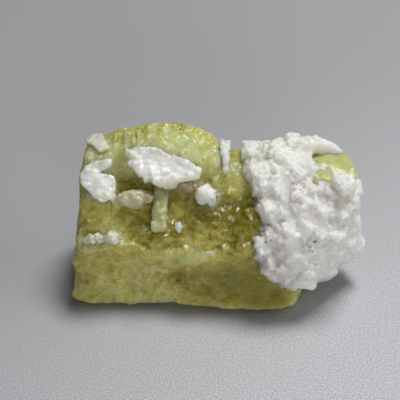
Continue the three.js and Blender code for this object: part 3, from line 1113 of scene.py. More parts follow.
@dataclass(frozen=True)
class Growth:
    """Small blocky crystals, nearly parallel, set over part of a surface and mostly sunk in it.

    `size` runs from the smallest to the largest, and small ones are the commoner the larger `rarity`
    is. `shape` is their proportions, `proud` the share of their size that stands above the surface,
    `lean` their common turn, `lean_spread` how far each differs from it, and `edge` their rounding.
    They grow in `patches` of noise, its cell and the level above which they are seen, and only where
    the surface faces `free_side`, inside the `regions` and outside the `barred` ones.
    """

    count: int
    size: Pair
    rarity: float = 2.5
    shape: Triple = (1.0, 0.8, 0.9)
    proud: Pair = (0.05, 0.3)
    lean: Triple = (0.35, 0.2, 0.5)
    lean_spread: float = 0.22
    free_side: Triple = (0.4, -0.7, 0.55)
    least_facing: float = -0.2
    patches: Pair = (3.0, -1.0)
    regions: tuple[Spot, ...] = ()
    barred: tuple[Spot, ...] = ()
    edge: float = 0.06

    def chances(self, skin: Skin, seed: int) -> Array:
        """How likely each point of a surface is to carry a crystal.

        Args:
            skin: the surface.
            seed: of the noise that groups the crystals in patches.

        Returns:
            n numbers that add up to 1.
        """
        side = np.array(self.free_side) / np.linalg.norm(self.free_side)
        weight = (skin.normals() @ side > self.least_facing).astype(float)
        size, limit = self.patches
        weight *= smooth(Noise(seed).layered(skin.points, size, 2), limit, limit + 0.4)
        if self.regions:
            weight *= np.clip(spots(skin.points, self.regions), 0.0, 1.0)
        weight *= 1.0 - smooth(spots(skin.points, self.barred), 0.3, 0.6)
        return weight / weight.sum()

    def grow(self, lattice: Lattice, seed: int) -> None:
        """Joins the crystals to a solid.

        Each stands at a random point of the surface, sunk until only the `proud` share of its size
        is above it, and the field becomes the lesser of itself and the crystal's depth in a window
        round it.

        Args:
            lattice: the solid.
            seed: of the crystals' places and sizes.
        """
        dice = np.random.default_rng(seed)
        skin = lattice.surface()
        normals = skin.normals()
        small, large = self.size
        for index in dice.choice(len(skin.points), self.count, p=self.chances(skin, seed + 1)):
            size = small + (large - small) * dice.random() ** self.rarity
            half = size * dice.uniform(0.7, 1.2, 3) * self.shape
            turn = np.array(Euler(dice.normal(0.0, self.lean_spread, 3) + self.lean).to_matrix())
            tall = np.abs(normals[index] @ turn) @ half
            centre = skin.points[index] - normals[index] * (tall - size * dice.uniform(*self.proud))
            block = Planes.crystal(centre, half, turn, dice.uniform(0.3, 0.8))
            window = lattice.window(centre, 1.8 * max(half))
            field_there = lattice.values[window]
            depth = block.depth(lattice.points(window), self.edge * size).reshape(field_there.shape)
            np.minimum(field_there, depth, out=field_there)


@dataclass
class GrownSurface:
    """A closed natural surface round some convex bodies: bent, swollen, overgrown and roughened.

    `rounding` and `fillet` soften the bodies' edges and the corners between them, in millimetres.
    `warp`, `facets` and `grit` are each an amount and the size of the noise's cell, `melt` is how often
    the grown solid is softened, and `swells` raise or sink it.
    """

    QUICK_SPACING = 1.6
    BLOCK_REACH = 1.5
    BEND_SHIFT = 31.0
    RELIEF_REACH = 0.7

    node: str
    bodies: tuple[tuple[Triple, ...], ...]
    spacing: float
    seed: int
    rounding: float = 0.12
    fillet: float = 0.25
    warp: Pair = (0.25, 2.0)
    facets: Pair = (0.08, 0.9)
    grit: Pair = (0.03, 0.45)
    melt: int = 0
    swells: tuple[Spot, ...] = ()
    growths: tuple[Growth, ...] = ()

    def build(self) -> bpy.types.Object:
        """Builds the surface.

        Returns:
            The object, with its attributes.
        """
        low, high = node_box(self.node)
        lattice = Lattice(low, high, self.spacing * (1.0))
        self.fill(lattice)
        for number, growth in enumerate(self.growths):
            growth.grow(lattice, 100 * self.seed + 10 * number)
        self.roughen(lattice)
        lattice.melt(self.melt)
        self.trim(lattice)
        lattice.keep_within(low, high)
        skin = lattice.surface()
        skin.points = fitted(skin.points, self.node)
        marks = {key: np.clip(values, 0.0, 1.0) for key, values in self.marks(skin).items()}
        return make_object(f"{self.node}_surface", skin.points, skin.quads, marks)

    def share(self, points: Array) -> Array:
        """Places as shares of the node's box."""
        low, high = node_box(self.node)
        return (points - low) / (high - low)

    def union(self, points: Array, blocks: list[Planes], fillet: float) -> Array:
        """The blocks' union as a field.

        It is the soft least -k log sum exp(-d / k) of the blocks' depths d, which fills the corners
        between them. A block's depth is only worked out near it.

        Args:
            points: n x 3 places.
            blocks: the blocks.
            fillet: k, in millimetres; 0 takes the plain least.

        Returns:
            n numbers, negative inside.
        """
        depths = np.full((len(blocks), len(points)), Lattice.FAR, np.float32)
        for block, depth in zip(blocks, depths):
            low, high = block.low - self.BLOCK_REACH, block.high + self.BLOCK_REACH
            near = np.flatnonzero(((points > low) & (points < high)).all(axis=1))
            depth[near] = block.depth(points[near], self.rounding if fillet else 0.0)
        least = depths.min(axis=0)
        if not fillet:
            return least
        return least - fillet * np.log(np.exp((least - depths) / fillet).sum(axis=0))

    def fill(self, lattice: Lattice) -> None:
        """Fills the lattice with the bodies' union; near its surface the places are first bent by noise.

        Args:
            lattice: the solid.
        """
        blocks = [Planes.through(corners) for corners in self.bodies]
        points = lattice.points()
        values = self.union(points, blocks, 0.0)
        amount, size = self.warp
        near = np.flatnonzero(np.abs(values) < 2.0 * amount + self.RELIEF_REACH)
        noise, at = Noise(self.seed), points[near]
        bend = amount * np.stack([noise.layered(at + self.BEND_SHIFT * k, size, 3) for k in range(3)], axis=1)
        bent = self.union((at + bend).astype(np.float32), blocks, self.fillet)
        values[near] = bent - spots(at, self.swells)
        lattice.values = values.reshape(lattice.counts).astype(np.float32)

    def roughen(self, lattice: Lattice) -> None:
        """Adds facets and grit to the field near the surface.

        Args:
            lattice: the solid.
        """
        near = lattice.near(self.RELIEF_REACH)
        at = lattice.points()[near]
        lattice.values.reshape(-1)[near] -= self.relief(at).astype(np.float32)

    def relief(self, at: Array) -> Array:
        """How far the surface is raised: facets and grit.

        Args:
            at: n x 3 places.

        Returns:
            n heights.
        """
        rise, size = self.facets
        rough, fine = self.grit
        faceted = rise * Cells(self.seed).facets(at, size)
        return faceted + rough * Noise(self.seed + 1).layered(at, fine, 2, 0.6)

    def trim(self, lattice: Lattice) -> None:
        """Takes away from the grown solid; the kinds of piece that need it say what."""

    def marks(self, skin: Skin) -> dict[str, Array]:
        """The attributes that the finish reads, by name; they are cut to 0 and 1 afterwards.

        Args:
            skin: the finished surface.

        Returns:
            n numbers for each name.
        """
        return {}


CRYSTAL = "brazilianite_crystal"


class Pattern(IntEnum):
    """The seeds of the main crystal's noises."""

    BROAD = 21
    WISPS = 22
    STAIN_AND_SHADE = 23
    THREADS = 24
    DUST = 25
    STREAKS = 26
    STREAK_PATCHES = 27
    RIDGES = 31
    RIDGE_PATCHES = 32
    CHIPS = 33
    DENTS = 41
    BEND = 51
    CROOK = 61
    LINE_GAPS = 64


@dataclass
class BrazilianiteCrystal(GrownSurface):
    """The main crystal: one block with a dome, a shoulder, a hollow slope and two feet."""

    node: str = CRYSTAL
    bodies: tuple[tuple[Triple, ...], ...] = tuple(CRYSTAL_BLOCKS.values())
    spacing: float = 0.225
    seed: int = 11
    rounding: float = 0.2
    fillet: float = 0.3
    warp: Pair = (0.5, 4.0)
    facets: Pair = (0.1, 1.2)
    grit: Pair = (0.04, 0.6)
    melt: int = 1
    chip_height: float = 0.2
    ridge_height: float = 0.07
    sole: float = 0.6
    dent: float = 0.25
    mean_paleness: float = 0.28
    broad_patches: float = 0.14
    wisps: float = 0.18
    threads: float = 0.20
    gemmy_depth: float = 0.2
    edge_contrast: float = 0.3
    veil_strength: float = 0.6
    crack_strength: float = 0.5
    swells: tuple[Spot, ...] = on(
        CRYSTAL,
        ((0.195, 0.55, 0.75), (1.8, 2.4, 2.4), -0.9),
        ((0.25, 0.27, 0.59), (3.6, 2.4, 1.9), -1.0),
        ((0.55, 0.33, 0.66), (1.9, 2.4, 2.4), -1.2),
        ((0.40, 0.26, 0.60), (2.6, 2.0, 2.0), -0.6),
        ((0.47, 0.47, 0.80), (1.6, 1.8, 1.8), -0.8),
        ((0.10, 0.20, 0.62), (2.2, 2.0, 2.0), -0.5),
        ((0.15, 0.06, 0.10), (7.0, 2.0, 2.2), 0.35),
        ((0.01, 0.15, 0.04), (2.5, 3.0, 2.0), 0.5),
        ((0.66, 0.02, 0.02), (6.0, 2.0, 1.5), 0.3),
        ((0.01, 0.38, 0.76), (1.5, 6.0, 3.5), -1.1),
        ((0.47, 0.80, 0.97), (3.0, 3.0, 2.0), 0.5),
        ((0.10, 0.72, 0.94), (2.5, 2.5, 1.5), -0.5),
        ((0.725, 0.53, 0.82), (3.5, 2.5, 1.8), -0.5),
    ) + on(
        "albite_ledge",
        ((0.15, 0.95, 0.90), (2.2, 0.8, 1.0), 0.45),
        ((0.45, 1.05, 1.00), (2.5, 0.8, 1.0), 0.45),
        ((0.80, 0.70, 0.75), (2.2, 0.8, 1.0), 0.45),
    )
    growths: tuple[Growth, ...] = (
        Growth(
            420, (0.4, 2.0), rarity=1.7, shape=(1.2, 0.8, 0.7), proud=(0.03, 0.28), lean=(0.55, 0.05, 0.12),
            lean_spread=0.25, free_side=(0.0, -0.6, 0.8), least_facing=0.2, patches=(2.5, -0.4),
            regions=on(
                CRYSTAL,
                ((0.37, 0.26, 0.57), (11.0, 4.0, 4.5)),
                ((0.15, 0.22, 0.60), (2.0, 3.0, 3.0)),
            ),
            barred=on(CRYSTAL, ((0.0, 0.35, 0.55), (2.6, 9.0, 8.0), 2.0)),
        ),
        Growth(
            150, (0.7, 1.5), rarity=1.0, shape=(0.28, 1.1, 1.2), proud=(0.03, 0.12), lean=(0.7, 0.0, 0.05),
            lean_spread=0.1, free_side=(0.0, -0.7, 0.8), least_facing=0.2, patches=(2.0, -0.4),
            regions=on(
                CRYSTAL,
                ((0.36, 0.66, 0.92), (5.0, 2.6, 2.6)),
                ((0.17, 0.70, 0.94), (3.0, 2.6, 1.6), 0.5),
            ),
            barred=on(CRYSTAL, ((0.30, 1.02, 1.00), (14.0, 3.0, 4.0), 1.2)),
        ),
        Growth(
            140, (0.4, 1.2), rarity=1.5, shape=(1.2, 0.6, 0.8), proud=(0.03, 0.2), lean=(0.1, 0.0, 0.0),
            lean_spread=0.25, free_side=(0.0, -1.0, 0.0), least_facing=0.3, patches=(2.5, -0.1),
            regions=on(
                CRYSTAL,
                ((0.14, 0.06, 0.10), (5.0, 3.0, 1.4)),
                ((0.30, 0.10, 0.35), (5.0, 3.0, 2.0), 0.5),
                ((0.81, 0.10, 0.08), (1.0, 2.0, 2.0), 1.5),
            ),
        ),
    )
    gemmy: tuple[Spot, ...] = on(
        CRYSTAL,
        ((0.62, 0.03, 0.25), (4.2, 3.0, 4.4)),
        ((0.70, 0.02, 0.12), (3.2, 3.0, 2.4)),
        ((0.50, 0.05, 0.28), (3.2, 3.0, 3.6), 0.8),
        ((0.94, 0.60, 0.84), (5.0, 4.0, 3.0), 1.0),
    )
    # Paleness spots, mostly the crystal's own frost, haze and veils. The paler lower left of the front is
    # partly its own haze and partly painted glow of light let through it.
    paler: tuple[Spot, ...] = on(
        CRYSTAL,
        ((0.14, 0.09, 0.03), (9.0, 3.5, 1.5), 0.15),
        ((0.18, 0.10, 0.25), (8.0, 3.5, 4.5), 0.20),
        ((0.28, 0.62, 0.93), (6.0, 1.6, 1.6), 0.3),
        ((0.42, 0.12, 0.42), (4.5, 2.5, 1.6), 0.35),
        ((0.36, 0.74, 0.90), (9.0, 4.0, 3.0), 0.62),
        ((0.10, 0.60, 0.88), (3.0, 4.0, 2.5), 0.45),
        ((0.94, 0.60, 0.84), (5.5, 5.0, 3.5), 0.75),
        ((0.60, 0.55, 0.80), (4.0, 3.0, 2.0), 0.25),
        ((0.58, 0.04, 0.02), (8.0, 3.0, 1.0), 0.3),
        ((0.30, 0.90, 1.00), (5.0, 2.0, 1.3), -0.25),
        ((0.50, 0.75, 0.92), (1.6, 2.0, 1.5), -0.25),
        # Partly painted shade: these make the hollows in the middle of the slope and below the lobe deeper.
        ((0.50, 0.33, 0.62), (4.5, 3.0, 2.8), -0.45),
        ((0.60, 0.22, 0.55), (2.6, 3.0, 2.2), -0.3),
        ((0.27, 0.30, 0.55), (4.0, 3.0, 1.6), -0.2),
        # Painted light: the hollow left of the ledge is made paler against its shade.
        ((0.19, 0.60, 0.75), (2.4, 2.6, 2.2), 0.5),
        ((0.37, 0.09, 0.22), (2.4, 2.0, 1.4), -0.25),
        ((0.81, 0.10, 0.08), (1.2, 2.0, 2.2), 0.45),
    )
    # Brown darkening: painted shade in the hollows below the lobe and in the middle of the slope; the spot
    # low on the front is a brown stain.
    stained_and_shaded: tuple[Spot, ...] = on(
        CRYSTAL,
        ((0.27, 0.26, 0.54), (3.2, 2.0, 1.2), 0.55),
        ((0.59, 0.20, 0.57), (1.8, 2.0, 1.5), 0.4),
        ((0.38, 0.09, 0.22), (2.0, 2.0, 1.3), 0.4),
        ((0.55, 0.34, 0.66), (2.0, 2.4, 2.0), 0.3),
    )
    threaded: tuple[Spot, ...] = on(CRYSTAL, ((0.20, 0.06, 0.25), (9.0, 3.0, 6.0), 1.2))
    veil: tuple[Triple, Triple] = ((0.22, 0.10, 0.25), (0.50, 0.12, 0.47))
    crack: tuple[Triple, Triple] = ((0.243, 0.10, 0.42), (0.240, 0.09, 0.25))
    powdered: tuple[Spot, ...] = on("albite_notch_wedge", ((0.5, 0.6, 0.8), (1.5, 2.2, 1.6), 0.7)) + on(
        CRYSTAL,
        ((0.61, 0.50, 0.80), (1.2, 3.0, 1.8), 0.6),
        ((0.30, 0.68, 0.95), (5.5, 1.3, 1.3), 0.5),
        ((0.15, 0.40, 0.75), (3.0, 2.0, 2.0), 0.5),
    )
    halo_reach: float = 0.9
    dusted: tuple[str, ...] = (
        "albite_ledge", "albite_shoulder", "albite_corner", "albite_notch_wedge", "albite_front_grains",
        "albite_centre_grain",
    )

    def dome(self, points: Array, rise: Triple) -> Array:
        """Where the dome is: high up, and left of the notch.

        Args:
            points: n x 3 places.
            rise: the shares of the box's height between which it sets in, and of its width where it ends.

        Returns:
            n numbers, 1 on the dome and 0 elsewhere.
        """
        share = self.share(points)
        start, full, right = rise
        return smooth(share[:, 2], start, full) * smooth(share[:, 0], right, 0.5)

    def relief(self, at: Array) -> Array:
        """Facets, grit and chips, which are worn down where it is gemmy, and ridges down the dome's faces.

        Args:
            at: n x 3 places.

        Returns:
            n heights.
        """
        patches = smooth(Noise(Pattern.RIDGE_PATCHES).layered(at, 2.5, 2), -0.5, 0.5)
        ridges = Noise(Pattern.RIDGES).layered(at, (0.5, 7.0, 9.0), 2, 0.6) * patches
        chips = Cells(Pattern.CHIPS).facets(at, (3.2, 2.6, 2.6), 0.35, 0.9)
        worn = 1.0 - 0.7 * np.clip(spots(at, self.gemmy), 0.0, 1.0)
        rough = worn * (super().relief(at) + self.chip_height * chips)
        return rough + self.ridge_height * self.dome(at, (0.78, 0.9, 0.54)) * ridges

    def trim(self, lattice: Lattice) -> None:
        """Cuts the underside level, with a few shallow dents in it.

        Args:
            lattice: the solid.
        """
        points = lattice.points()
        flat = np.flatnonzero(points[:, 2] < self.sole)
        at = points[flat]
        dents = self.dent * smooth(Noise(Pattern.DENTS).layered(at, 2.4, 2), 0.1, 0.8)
        values = lattice.values.reshape(-1)
        values[flat] = np.maximum(values[flat], dents - at[:, 2])

    def marks(self, skin: Skin) -> dict[str, Array]:
        """How the crystal's look changes over its surface.

        Args:
            skin: the finished surface.

        Returns:
            pale, gemmy, stain_and_shade (a brown stain on the front, and painted shade in the hollows below
            the lobe and in the middle of the slope), dust, fresh (the cleaner green of the upper part) and
            threaded (where the fine markings are strongest).
        """
        points = skin.points
        gemmy = np.clip(spots(points, self.gemmy), 0.0, 1.0)
        stain_and_shade = spots(points, self.stained_and_shaded) * smooth(Noise(Pattern.STAIN_AND_SHADE).layered(points, 1.6, 3), -0.4, 0.7)
        dust = sum(self.halo(node, points) for node in self.dusted) + spots(points, self.powdered)
        return {
            "pale": self.paleness(skin, gemmy),
            "gemmy": gemmy,
            "stain_and_shade": stain_and_shade,
            "dust": dust * smooth(Noise(Pattern.DUST).layered(points, 0.9, 3, 0.6), -0.6, 0.8),
            "fresh": smooth(self.share(points)[:, 2], 0.72, 0.86),
            "threaded": spots(points, self.threaded),
        }

    def paleness(self, skin: Skin, gemmy: Array) -> Array:
        """How pale the crystal is.

        Broken ridges are pale, partly their own frost and partly painted highlight, and hollows are painted
        deeper as painted shade. Between them the paleness is broad patches, wisps and thin threads of noise,
        calmer where it is gemmy, with upright streaks down the dome, and a veil and a healed crack that show
        as pale lines.

        Args:
            skin: the finished surface.
            gemmy: how clear each point is.

        Returns:
            n numbers, mostly from 0 to 1.
        """
        points, ridge = skin.points, skin.raised(10)
        dome = self.dome(points, (0.80, 0.88, 0.56))
        bend = drift(Pattern.BEND, points, 3.0, 2)
        broad = Noise(Pattern.BROAD).layered(points, 3.4, 3, 0.6)
        wisps = Noise(Pattern.WISPS).layered(points + 1.1 * bend, (1.8, 1.0, 0.9), 4, 0.65)
        crossing = np.abs(Noise(Pattern.THREADS).layered(points + 0.9 * bend, (2.6, 1.4, 1.2), 3, 0.6))
        threads = np.maximum(1.0 - crossing * 3.5, 0.0)
        calm = (1.0 - 0.75 * gemmy) * (1.0 - 0.6 * dome)
        pale = self.mean_paleness + (self.broad_patches * broad + self.wisps * wisps) * calm
        pale = pale + self.threads * threads * calm
        pale = pale + spots(points, self.paler) - self.gemmy_depth * gemmy
        # Painted light and shade: ridges are made paler, partly frost and partly painted highlight, and
        # hollows deeper as painted shade.
        edges, hollows = smooth(ridge, 0.02, 0.2), smooth(ridge, -0.015, -0.25)
        worn = self.edge_contrast * edges - self.edge_contrast * hollows
        pale = pale + worn * (1.0 - 0.6 * gemmy)
        patches = smooth(Noise(Pattern.STREAK_PATCHES).layered(points, 2.2, 2), -0.5, 0.4)
        streaks = Noise(Pattern.STREAKS).layered(points, (0.45, 5.0, 5.0), 2, 0.6) * patches
        pale = pale + dome * (1.4 * np.maximum(streaks, 0.0) + 0.3 * np.minimum(streaks, 0.0))
        pale = pale + self.veil_strength * self.line(points, *self.veil, 0.8)
        return pale + self.crack_strength * self.line(points, *self.crack, 0.16)

    def line(self, points: Array, start: Triple, end: Triple, width: float) -> Array:
        """A soft crooked line between two shares of the box: exp(-(d / width)^2) of the distance to it.

        Args:
            points: places on the crystal.
            start: where it starts.
            end: where it ends.
            width: its half width, in millimetres.

        Returns:
            n strengths, broken up by noise.
        """
        low, high = node_box(self.node)
        a, b = (low + (high - low) * np.array(share) for share in (start, end))
        along = np.clip((points - a) @ (b - a) / ((b - a) @ (b - a)), 0.0, 1.0)
        crooked = 0.5 * drift(Pattern.CROOK, points, 1.5, 3)
        away = np.linalg.norm(points + crooked - a - along[:, None] * (b - a), axis=1)
        gaps = smooth(Noise(Pattern.LINE_GAPS).layered(points, 0.9, 2), -0.7, 0.3)
        return np.exp(-(away / width) ** 2) * gaps

    def halo(self, node: str, points: Array) -> Array:
        """White dust round a small piece: exp(-d^2) by the distance d outside its box's ellipsoid.

        Args:
            node: the piece.
            points: places on the crystal.

        Returns:
            n strengths.
        """
        low, high = node_box(node)
        away = np.linalg.norm((points - (low + high) / 2) / ((high - low) / 2 + self.halo_reach), axis=1)
        return 0.8 * np.exp(-np.maximum(away - 0.8, 0.0) ** 2 / 0.09)


# ---------------------------------------------------------------- feldspar masses

@dataclass
class FeldsparMass(GrownSurface):
    """A mass of feldspar: milky, with painted shade in its creases, greener and speckled in places.

    `worn` regions are cut back once the small crystals have grown, a `thin_rim` lets the green of the
    crystal through at the edges, and `coarse` says how strong the finish's own relief is.
    """

    greened: tuple[Spot, ...] = ()
    shaded: tuple[Spot, ...] = ()
    specked: tuple[Spot, ...] = ()
    worn: tuple[Spot, ...] = ()
    crease: Pair = (-0.05, -0.5)
    crease_shade: float = 0.32
    thin_rim: float = 0.0
    coarse: float = 1.0
    wear_reach: float = 2.5

    def trim(self, lattice: Lattice) -> None:
        """Wears the mass down in the worn regions.

        Args:
            lattice: the solid.
        """
        near = lattice.near(self.wear_reach)
        at = lattice.points()[near]
        lattice.values.reshape(-1)[near] += spots(at, self.worn).astype(np.float32)

    def marks(self, skin: Skin) -> dict[str, Array]:
        """How the mass's look changes over its surface.

        Args:
            skin: the finished surface.

        Returns:
            shade, green, specks and coarse.
        """
        points = skin.points
        cloud = smooth(Noise(self.seed + 3).layered(points, 1.8, 3), -0.6, 0.7)
        # Painted shade: creases are blended towards the shade colour.
        creases = self.crease_shade * smooth(skin.raised(16), *self.crease)
        green = spots(points, self.greened) * (0.4 + 0.6 * cloud)
        low, high = node_box(self.node)
        away = np.linalg.norm((2.0 * points - low - high) / (high - low), axis=1)
        ragged = away + 0.3 * Noise(self.seed + 4).layered(points, 1.0, 2)
        return {
            "shade": creases + spots(points, self.shaded) * (0.5 + 0.5 * cloud),
            "green": green + self.thin_rim * smooth(ragged, 0.55, 1.05),
            "specks": spots(points, self.specked),
            "coarse": np.full(len(points), self.coarse),
        }


@dataclass
class PaleCrystal(GrownSurface):
    """A small brazilianite crystal, frosted all over."""

    frost: float = 0.95
    streak: float = 0.25
    dust: float = 0.5
    fresh: float = 0.3

    def marks(self, skin: Skin) -> dict[str, Array]:
        """Even frost with streaks along the column, and paler towards its free end.

        Args:
            skin: the finished surface.

        Returns:
            The attributes of the main crystal.
        """
        none = np.zeros(len(skin.points))
        streaks = self.streak * Noise(self.seed).layered(skin.points, (0.25, 2.0, 2.0), 2)
        dust = self.dust * smooth(self.share(skin.points)[:, 2], 0.35, 0.1)
        marks = {"pale": self.frost + streaks, "dust": dust, "fresh": none + self.fresh}
        return marks | {"stain_and_shade": none, "gemmy": none, "threaded": none}


def plate(outline: tuple[Triple, ...], drop: Triple, drawn_in: float = 0.8) -> tuple[Triple, ...]:
    """An outline on the crystal's surface, and the same outline sunk and drawn in.

    Args:
        outline: its corners.
        drop: how far the lower outline is sunk.
        drawn_in: the lower outline's size over the upper one's.

    Returns:
        The corners of both.
    """
    top = np.array(outline)
    under = top.mean(axis=0) + (top - top.mean(axis=0)) * drawn_in + np.array(drop)
    return tuple(map(tuple, np.vstack([top, under])))


def prism(foot: Triple, tip: Triple, width: float, depth: float, bevel: float) -> tuple[Triple, ...]:
    """The corners of a six-sided column with one pair of edges cut.

    Args:
        foot: the middle of its lower end.
        tip: the middle of its upper end.
        width: half width, along X.
        depth: half depth, across X and the axis.
        bevel: how much the cut edges lose.

    Returns:
        Twelve corners.
    """
    axis = np.array(tip) - foot
    side = np.array((1.0, 0.0, 0.0))
    front = np.cross(axis, side) / np.linalg.norm(axis)
    ring = ((-width, -depth + bevel), (-width + bevel, -depth), (width, -depth), (width, depth - bevel),
            (width - bevel, depth), (-width, depth))
    ends = (np.array(foot), np.array(tip))
    return tuple(tuple(end + side * x + front * y) for end in ends for x, y in ring)


def lump(centre: Triple, radii: Triple, turn: Triple = (0.0, 0.0, 0.0),
         count: int = 60) -> tuple[Triple, ...]:
    """The corners of a rounded lump: a ball of points, stretched, turned and moved.

    Point n of N is at height 1 - (2n + 1) / N, turned by n golden angles, pi (3 - sqrt 5).

    Args:
        centre: its middle.
        radii: its half sizes.
        turn: its rotation.
        count: how many points.

    Returns:
        The corners.
    """
    n = np.arange(count)
    z = 1 - 2 * (n + 0.5) / count
    spin = n * math.pi * (3 - math.sqrt(5))
    ball = np.stack([np.sqrt(1 - z * z) * np.cos(spin), np.sqrt(1 - z * z) * np.sin(spin), z], axis=1)
    return tuple(map(tuple, (ball * radii) @ np.array(Euler(turn).to_matrix()).T + centre))


CLUSTER = "albite_cluster"

CLUSTER_BODIES = (
    (
        (3.2, 5.3, 18.2), (3.6, 2.7, 17.6), (8.8, 6.1, 18.9), (12.4, 5.9, 18.7), (12.9, 2.9, 17.9),
        (5.0, -0.5, 16.4), (5.4, -3.1, 14.6), (13.0, -1.7, 16.8), (7.0, 1.5, 12.0), (12.0, 1.5, 12.0),
    ),
    (
        (10.0, -4.1, 15.0), (15.6, -1.4, 16.8), (18.8, -2.1, 15.6), (10.6, -8.7, 8.6),
        (11.2, -9.1, 3.5), (14.4, -5.4, 3.0), (15.9, -4.5, 3.0), (18.0, -3.2, 3.2), (19.7, -1.9, 4.2),
        (20.4, -1.7, 7.3), (19.9, -1.5, 11.5), (19.3, -1.1, 16.4), (15.2, -7.1, 8.4),
        (17.8, -4.4, 9.0), (12.0, -0.5, 4.6), (12.0, 0.5, 12.0), (18.6, 1.7, 8.4), (13.2, -6.7, 12.4),
    ),
    (
        (5.2, -3.1, 13.9), (4.6, -5.3, 12.2), (4.6, -7.8, 10.6), (5.2, -8.9, 7.4), (5.7, -9.3, 6.3),
        (9.4, -9.5, 5.2), (11.0, -9.4, 3.7), (10.6, -8.9, 9.0), (10.2, -6.1, 13.4), (8.0, -1.5, 14.8),
        (7.0, -4.5, 7.0), (11.0, -3.5, 7.0),
    ),
    (
        (5.6, -1.0, 16.2), (12.8, 2.9, 17.8), (15.9, 2.0, 17.9), (17.2, 0.7, 17.9), (19.2, 0.3, 17.5),
        (5.6, -4.7, 13.2), (10.5, -5.9, 13.6), (16.0, -4.3, 14.0), (19.0, -2.5, 14.6),
        (8.0, -0.5, 11.0), (16.0, 0.5, 12.0),
    ),
    lump((20.2, -0.4, 9.2), (0.8, 1.2, 1.1)),
    (
        (10.0, 4.4, 17.2), (17.4, 4.5, 17.0), (17.5, 6.8, 17.2), (10.0, 6.9, 17.4), (10.0, 4.9, 19.2),
        (14.5, 4.9, 19.4), (17.6, 5.0, 19.0), (17.4, 6.6, 19.0), (14.5, 6.7, 19.5), (10.0, 6.5, 19.4),
    ),
)

LEDGE = plate((
    (-13.1, 2.8, 19.4), (-11.6, 3.2, 19.9), (-9.5, 3.4, 20.0), (-8.0, 2.9, 19.8), (-4.3, 1.4, 18.8),
    (-2.5, 0.3, 18.0), (-2.9, -0.3, 17.6), (-4.6, -0.2, 17.8), (-6.1, -1.1, 17.2), (-8.3, -1.6, 16.9),
    (-10.1, -0.5, 17.5), (-11.8, 0.2, 17.9), (-12.7, 1.4, 18.6),
), (-0.2, 0.6, -1.9), 0.78)

SHOULDER = (
    plate((
        (-19.2, 0.3, 17.6), (-17.4, 1.3, 18.3), (-15.3, 2.0, 18.7), (-15.2, 1.4, 18.2), (-17.0, 0.5, 17.6),
        (-19.0, -0.9, 16.8),
    ), (0.1, 0.8, -1.5), 0.8),
    plate((
        (-18.9, -0.4, 17.0), (-17.0, 0.3, 17.5), (-15.2, 0.2, 17.4), (-14.3, -1.2, 16.5), (-14.6, -2.4, 15.5),
        (-16.4, -2.9, 15.0), (-17.8, -2.3, 15.5), (-18.6, -1.4, 16.2),
    ), (0.2, 1.1, -1.4), 0.75),
)

CORNER = plate((
    (-19.0, 5.4, 19.6), (-18.0, 6.3, 19.8), (-16.6, 6.4, 20.1), (-15.4, 3.2, 19.8), (-16.6, 2.8, 19.6),
    (-17.8, 4.1, 19.7),
), (0, 0, -1.0), 0.8)

WEDGE = (
    (0.0, 6.1, 19.3), (1.5, 6.1, 19.1), (1.5, 4.0, 18.8), (0.0, 3.8, 19.1), (0.0, 2.2, 18.1),
    (1.4, 2.4, 18.0), (0.4, 1.0, 17.1), (1.1, 1.1, 16.4), (0.0, 5.2, 16.6), (1.5, 5.2, 16.8),
)

CLEAR_CRYSTAL = (
    (-6.1, -5.2, 12.2), (-5.6, -5.3, 12.5), (-5.3, -4.9, 12.1), (-5.5, -5.2, 11.3), (-5.9, -5.0, 11.4),
    (-6.1, -4.4, 12.4), (-5.5, -4.2, 12.5), (-5.3, -4.3, 11.7), (-5.9, -4.3, 11.5),
)

FRONT_GRAINS = (
    lump((-18.4, -5.9, 10.4), (0.50, 0.45, 0.35), (0.3, 0.3, 0)),
    lump((-17.8, -5.7, 11.0), (0.35, 0.40, 0.45), (0.3, 0.3, 0)),
    lump((-17.3, -5.9, 10.5), (0.30, 0.35, 0.30), (0.3, -0.2, 0)),
    lump((-16.7, -5.6, 11.1), (0.45, 0.40, 0.30), (0.3, 0, 0.4)),
    lump((-16.4, -5.8, 10.4), (0.35, 0.30, 0.25), (0.3, 0, 0.4)),
    lump((-15.7, -5.7, 10.8), (0.30, 0.40, 0.35), (0.3, 0, 0.4)),
    ((-15.4, -6.2, 11.0), (-14.3, -6.4, 11.2), (-15.3, -5.8, 11.7), (-14.2, -5.7, 11.8), (-14.0, -5.6, 10.9),
     (-15.2, -6.1, 10.4), (-14.2, -6.2, 10.5), (-15.0, -5.0, 11.5), (-14.2, -5.0, 11.3)),
    lump((-14.5, -5.8, 10.2), (0.35, 0.30, 0.22), (0, 0.4, 0)),
)


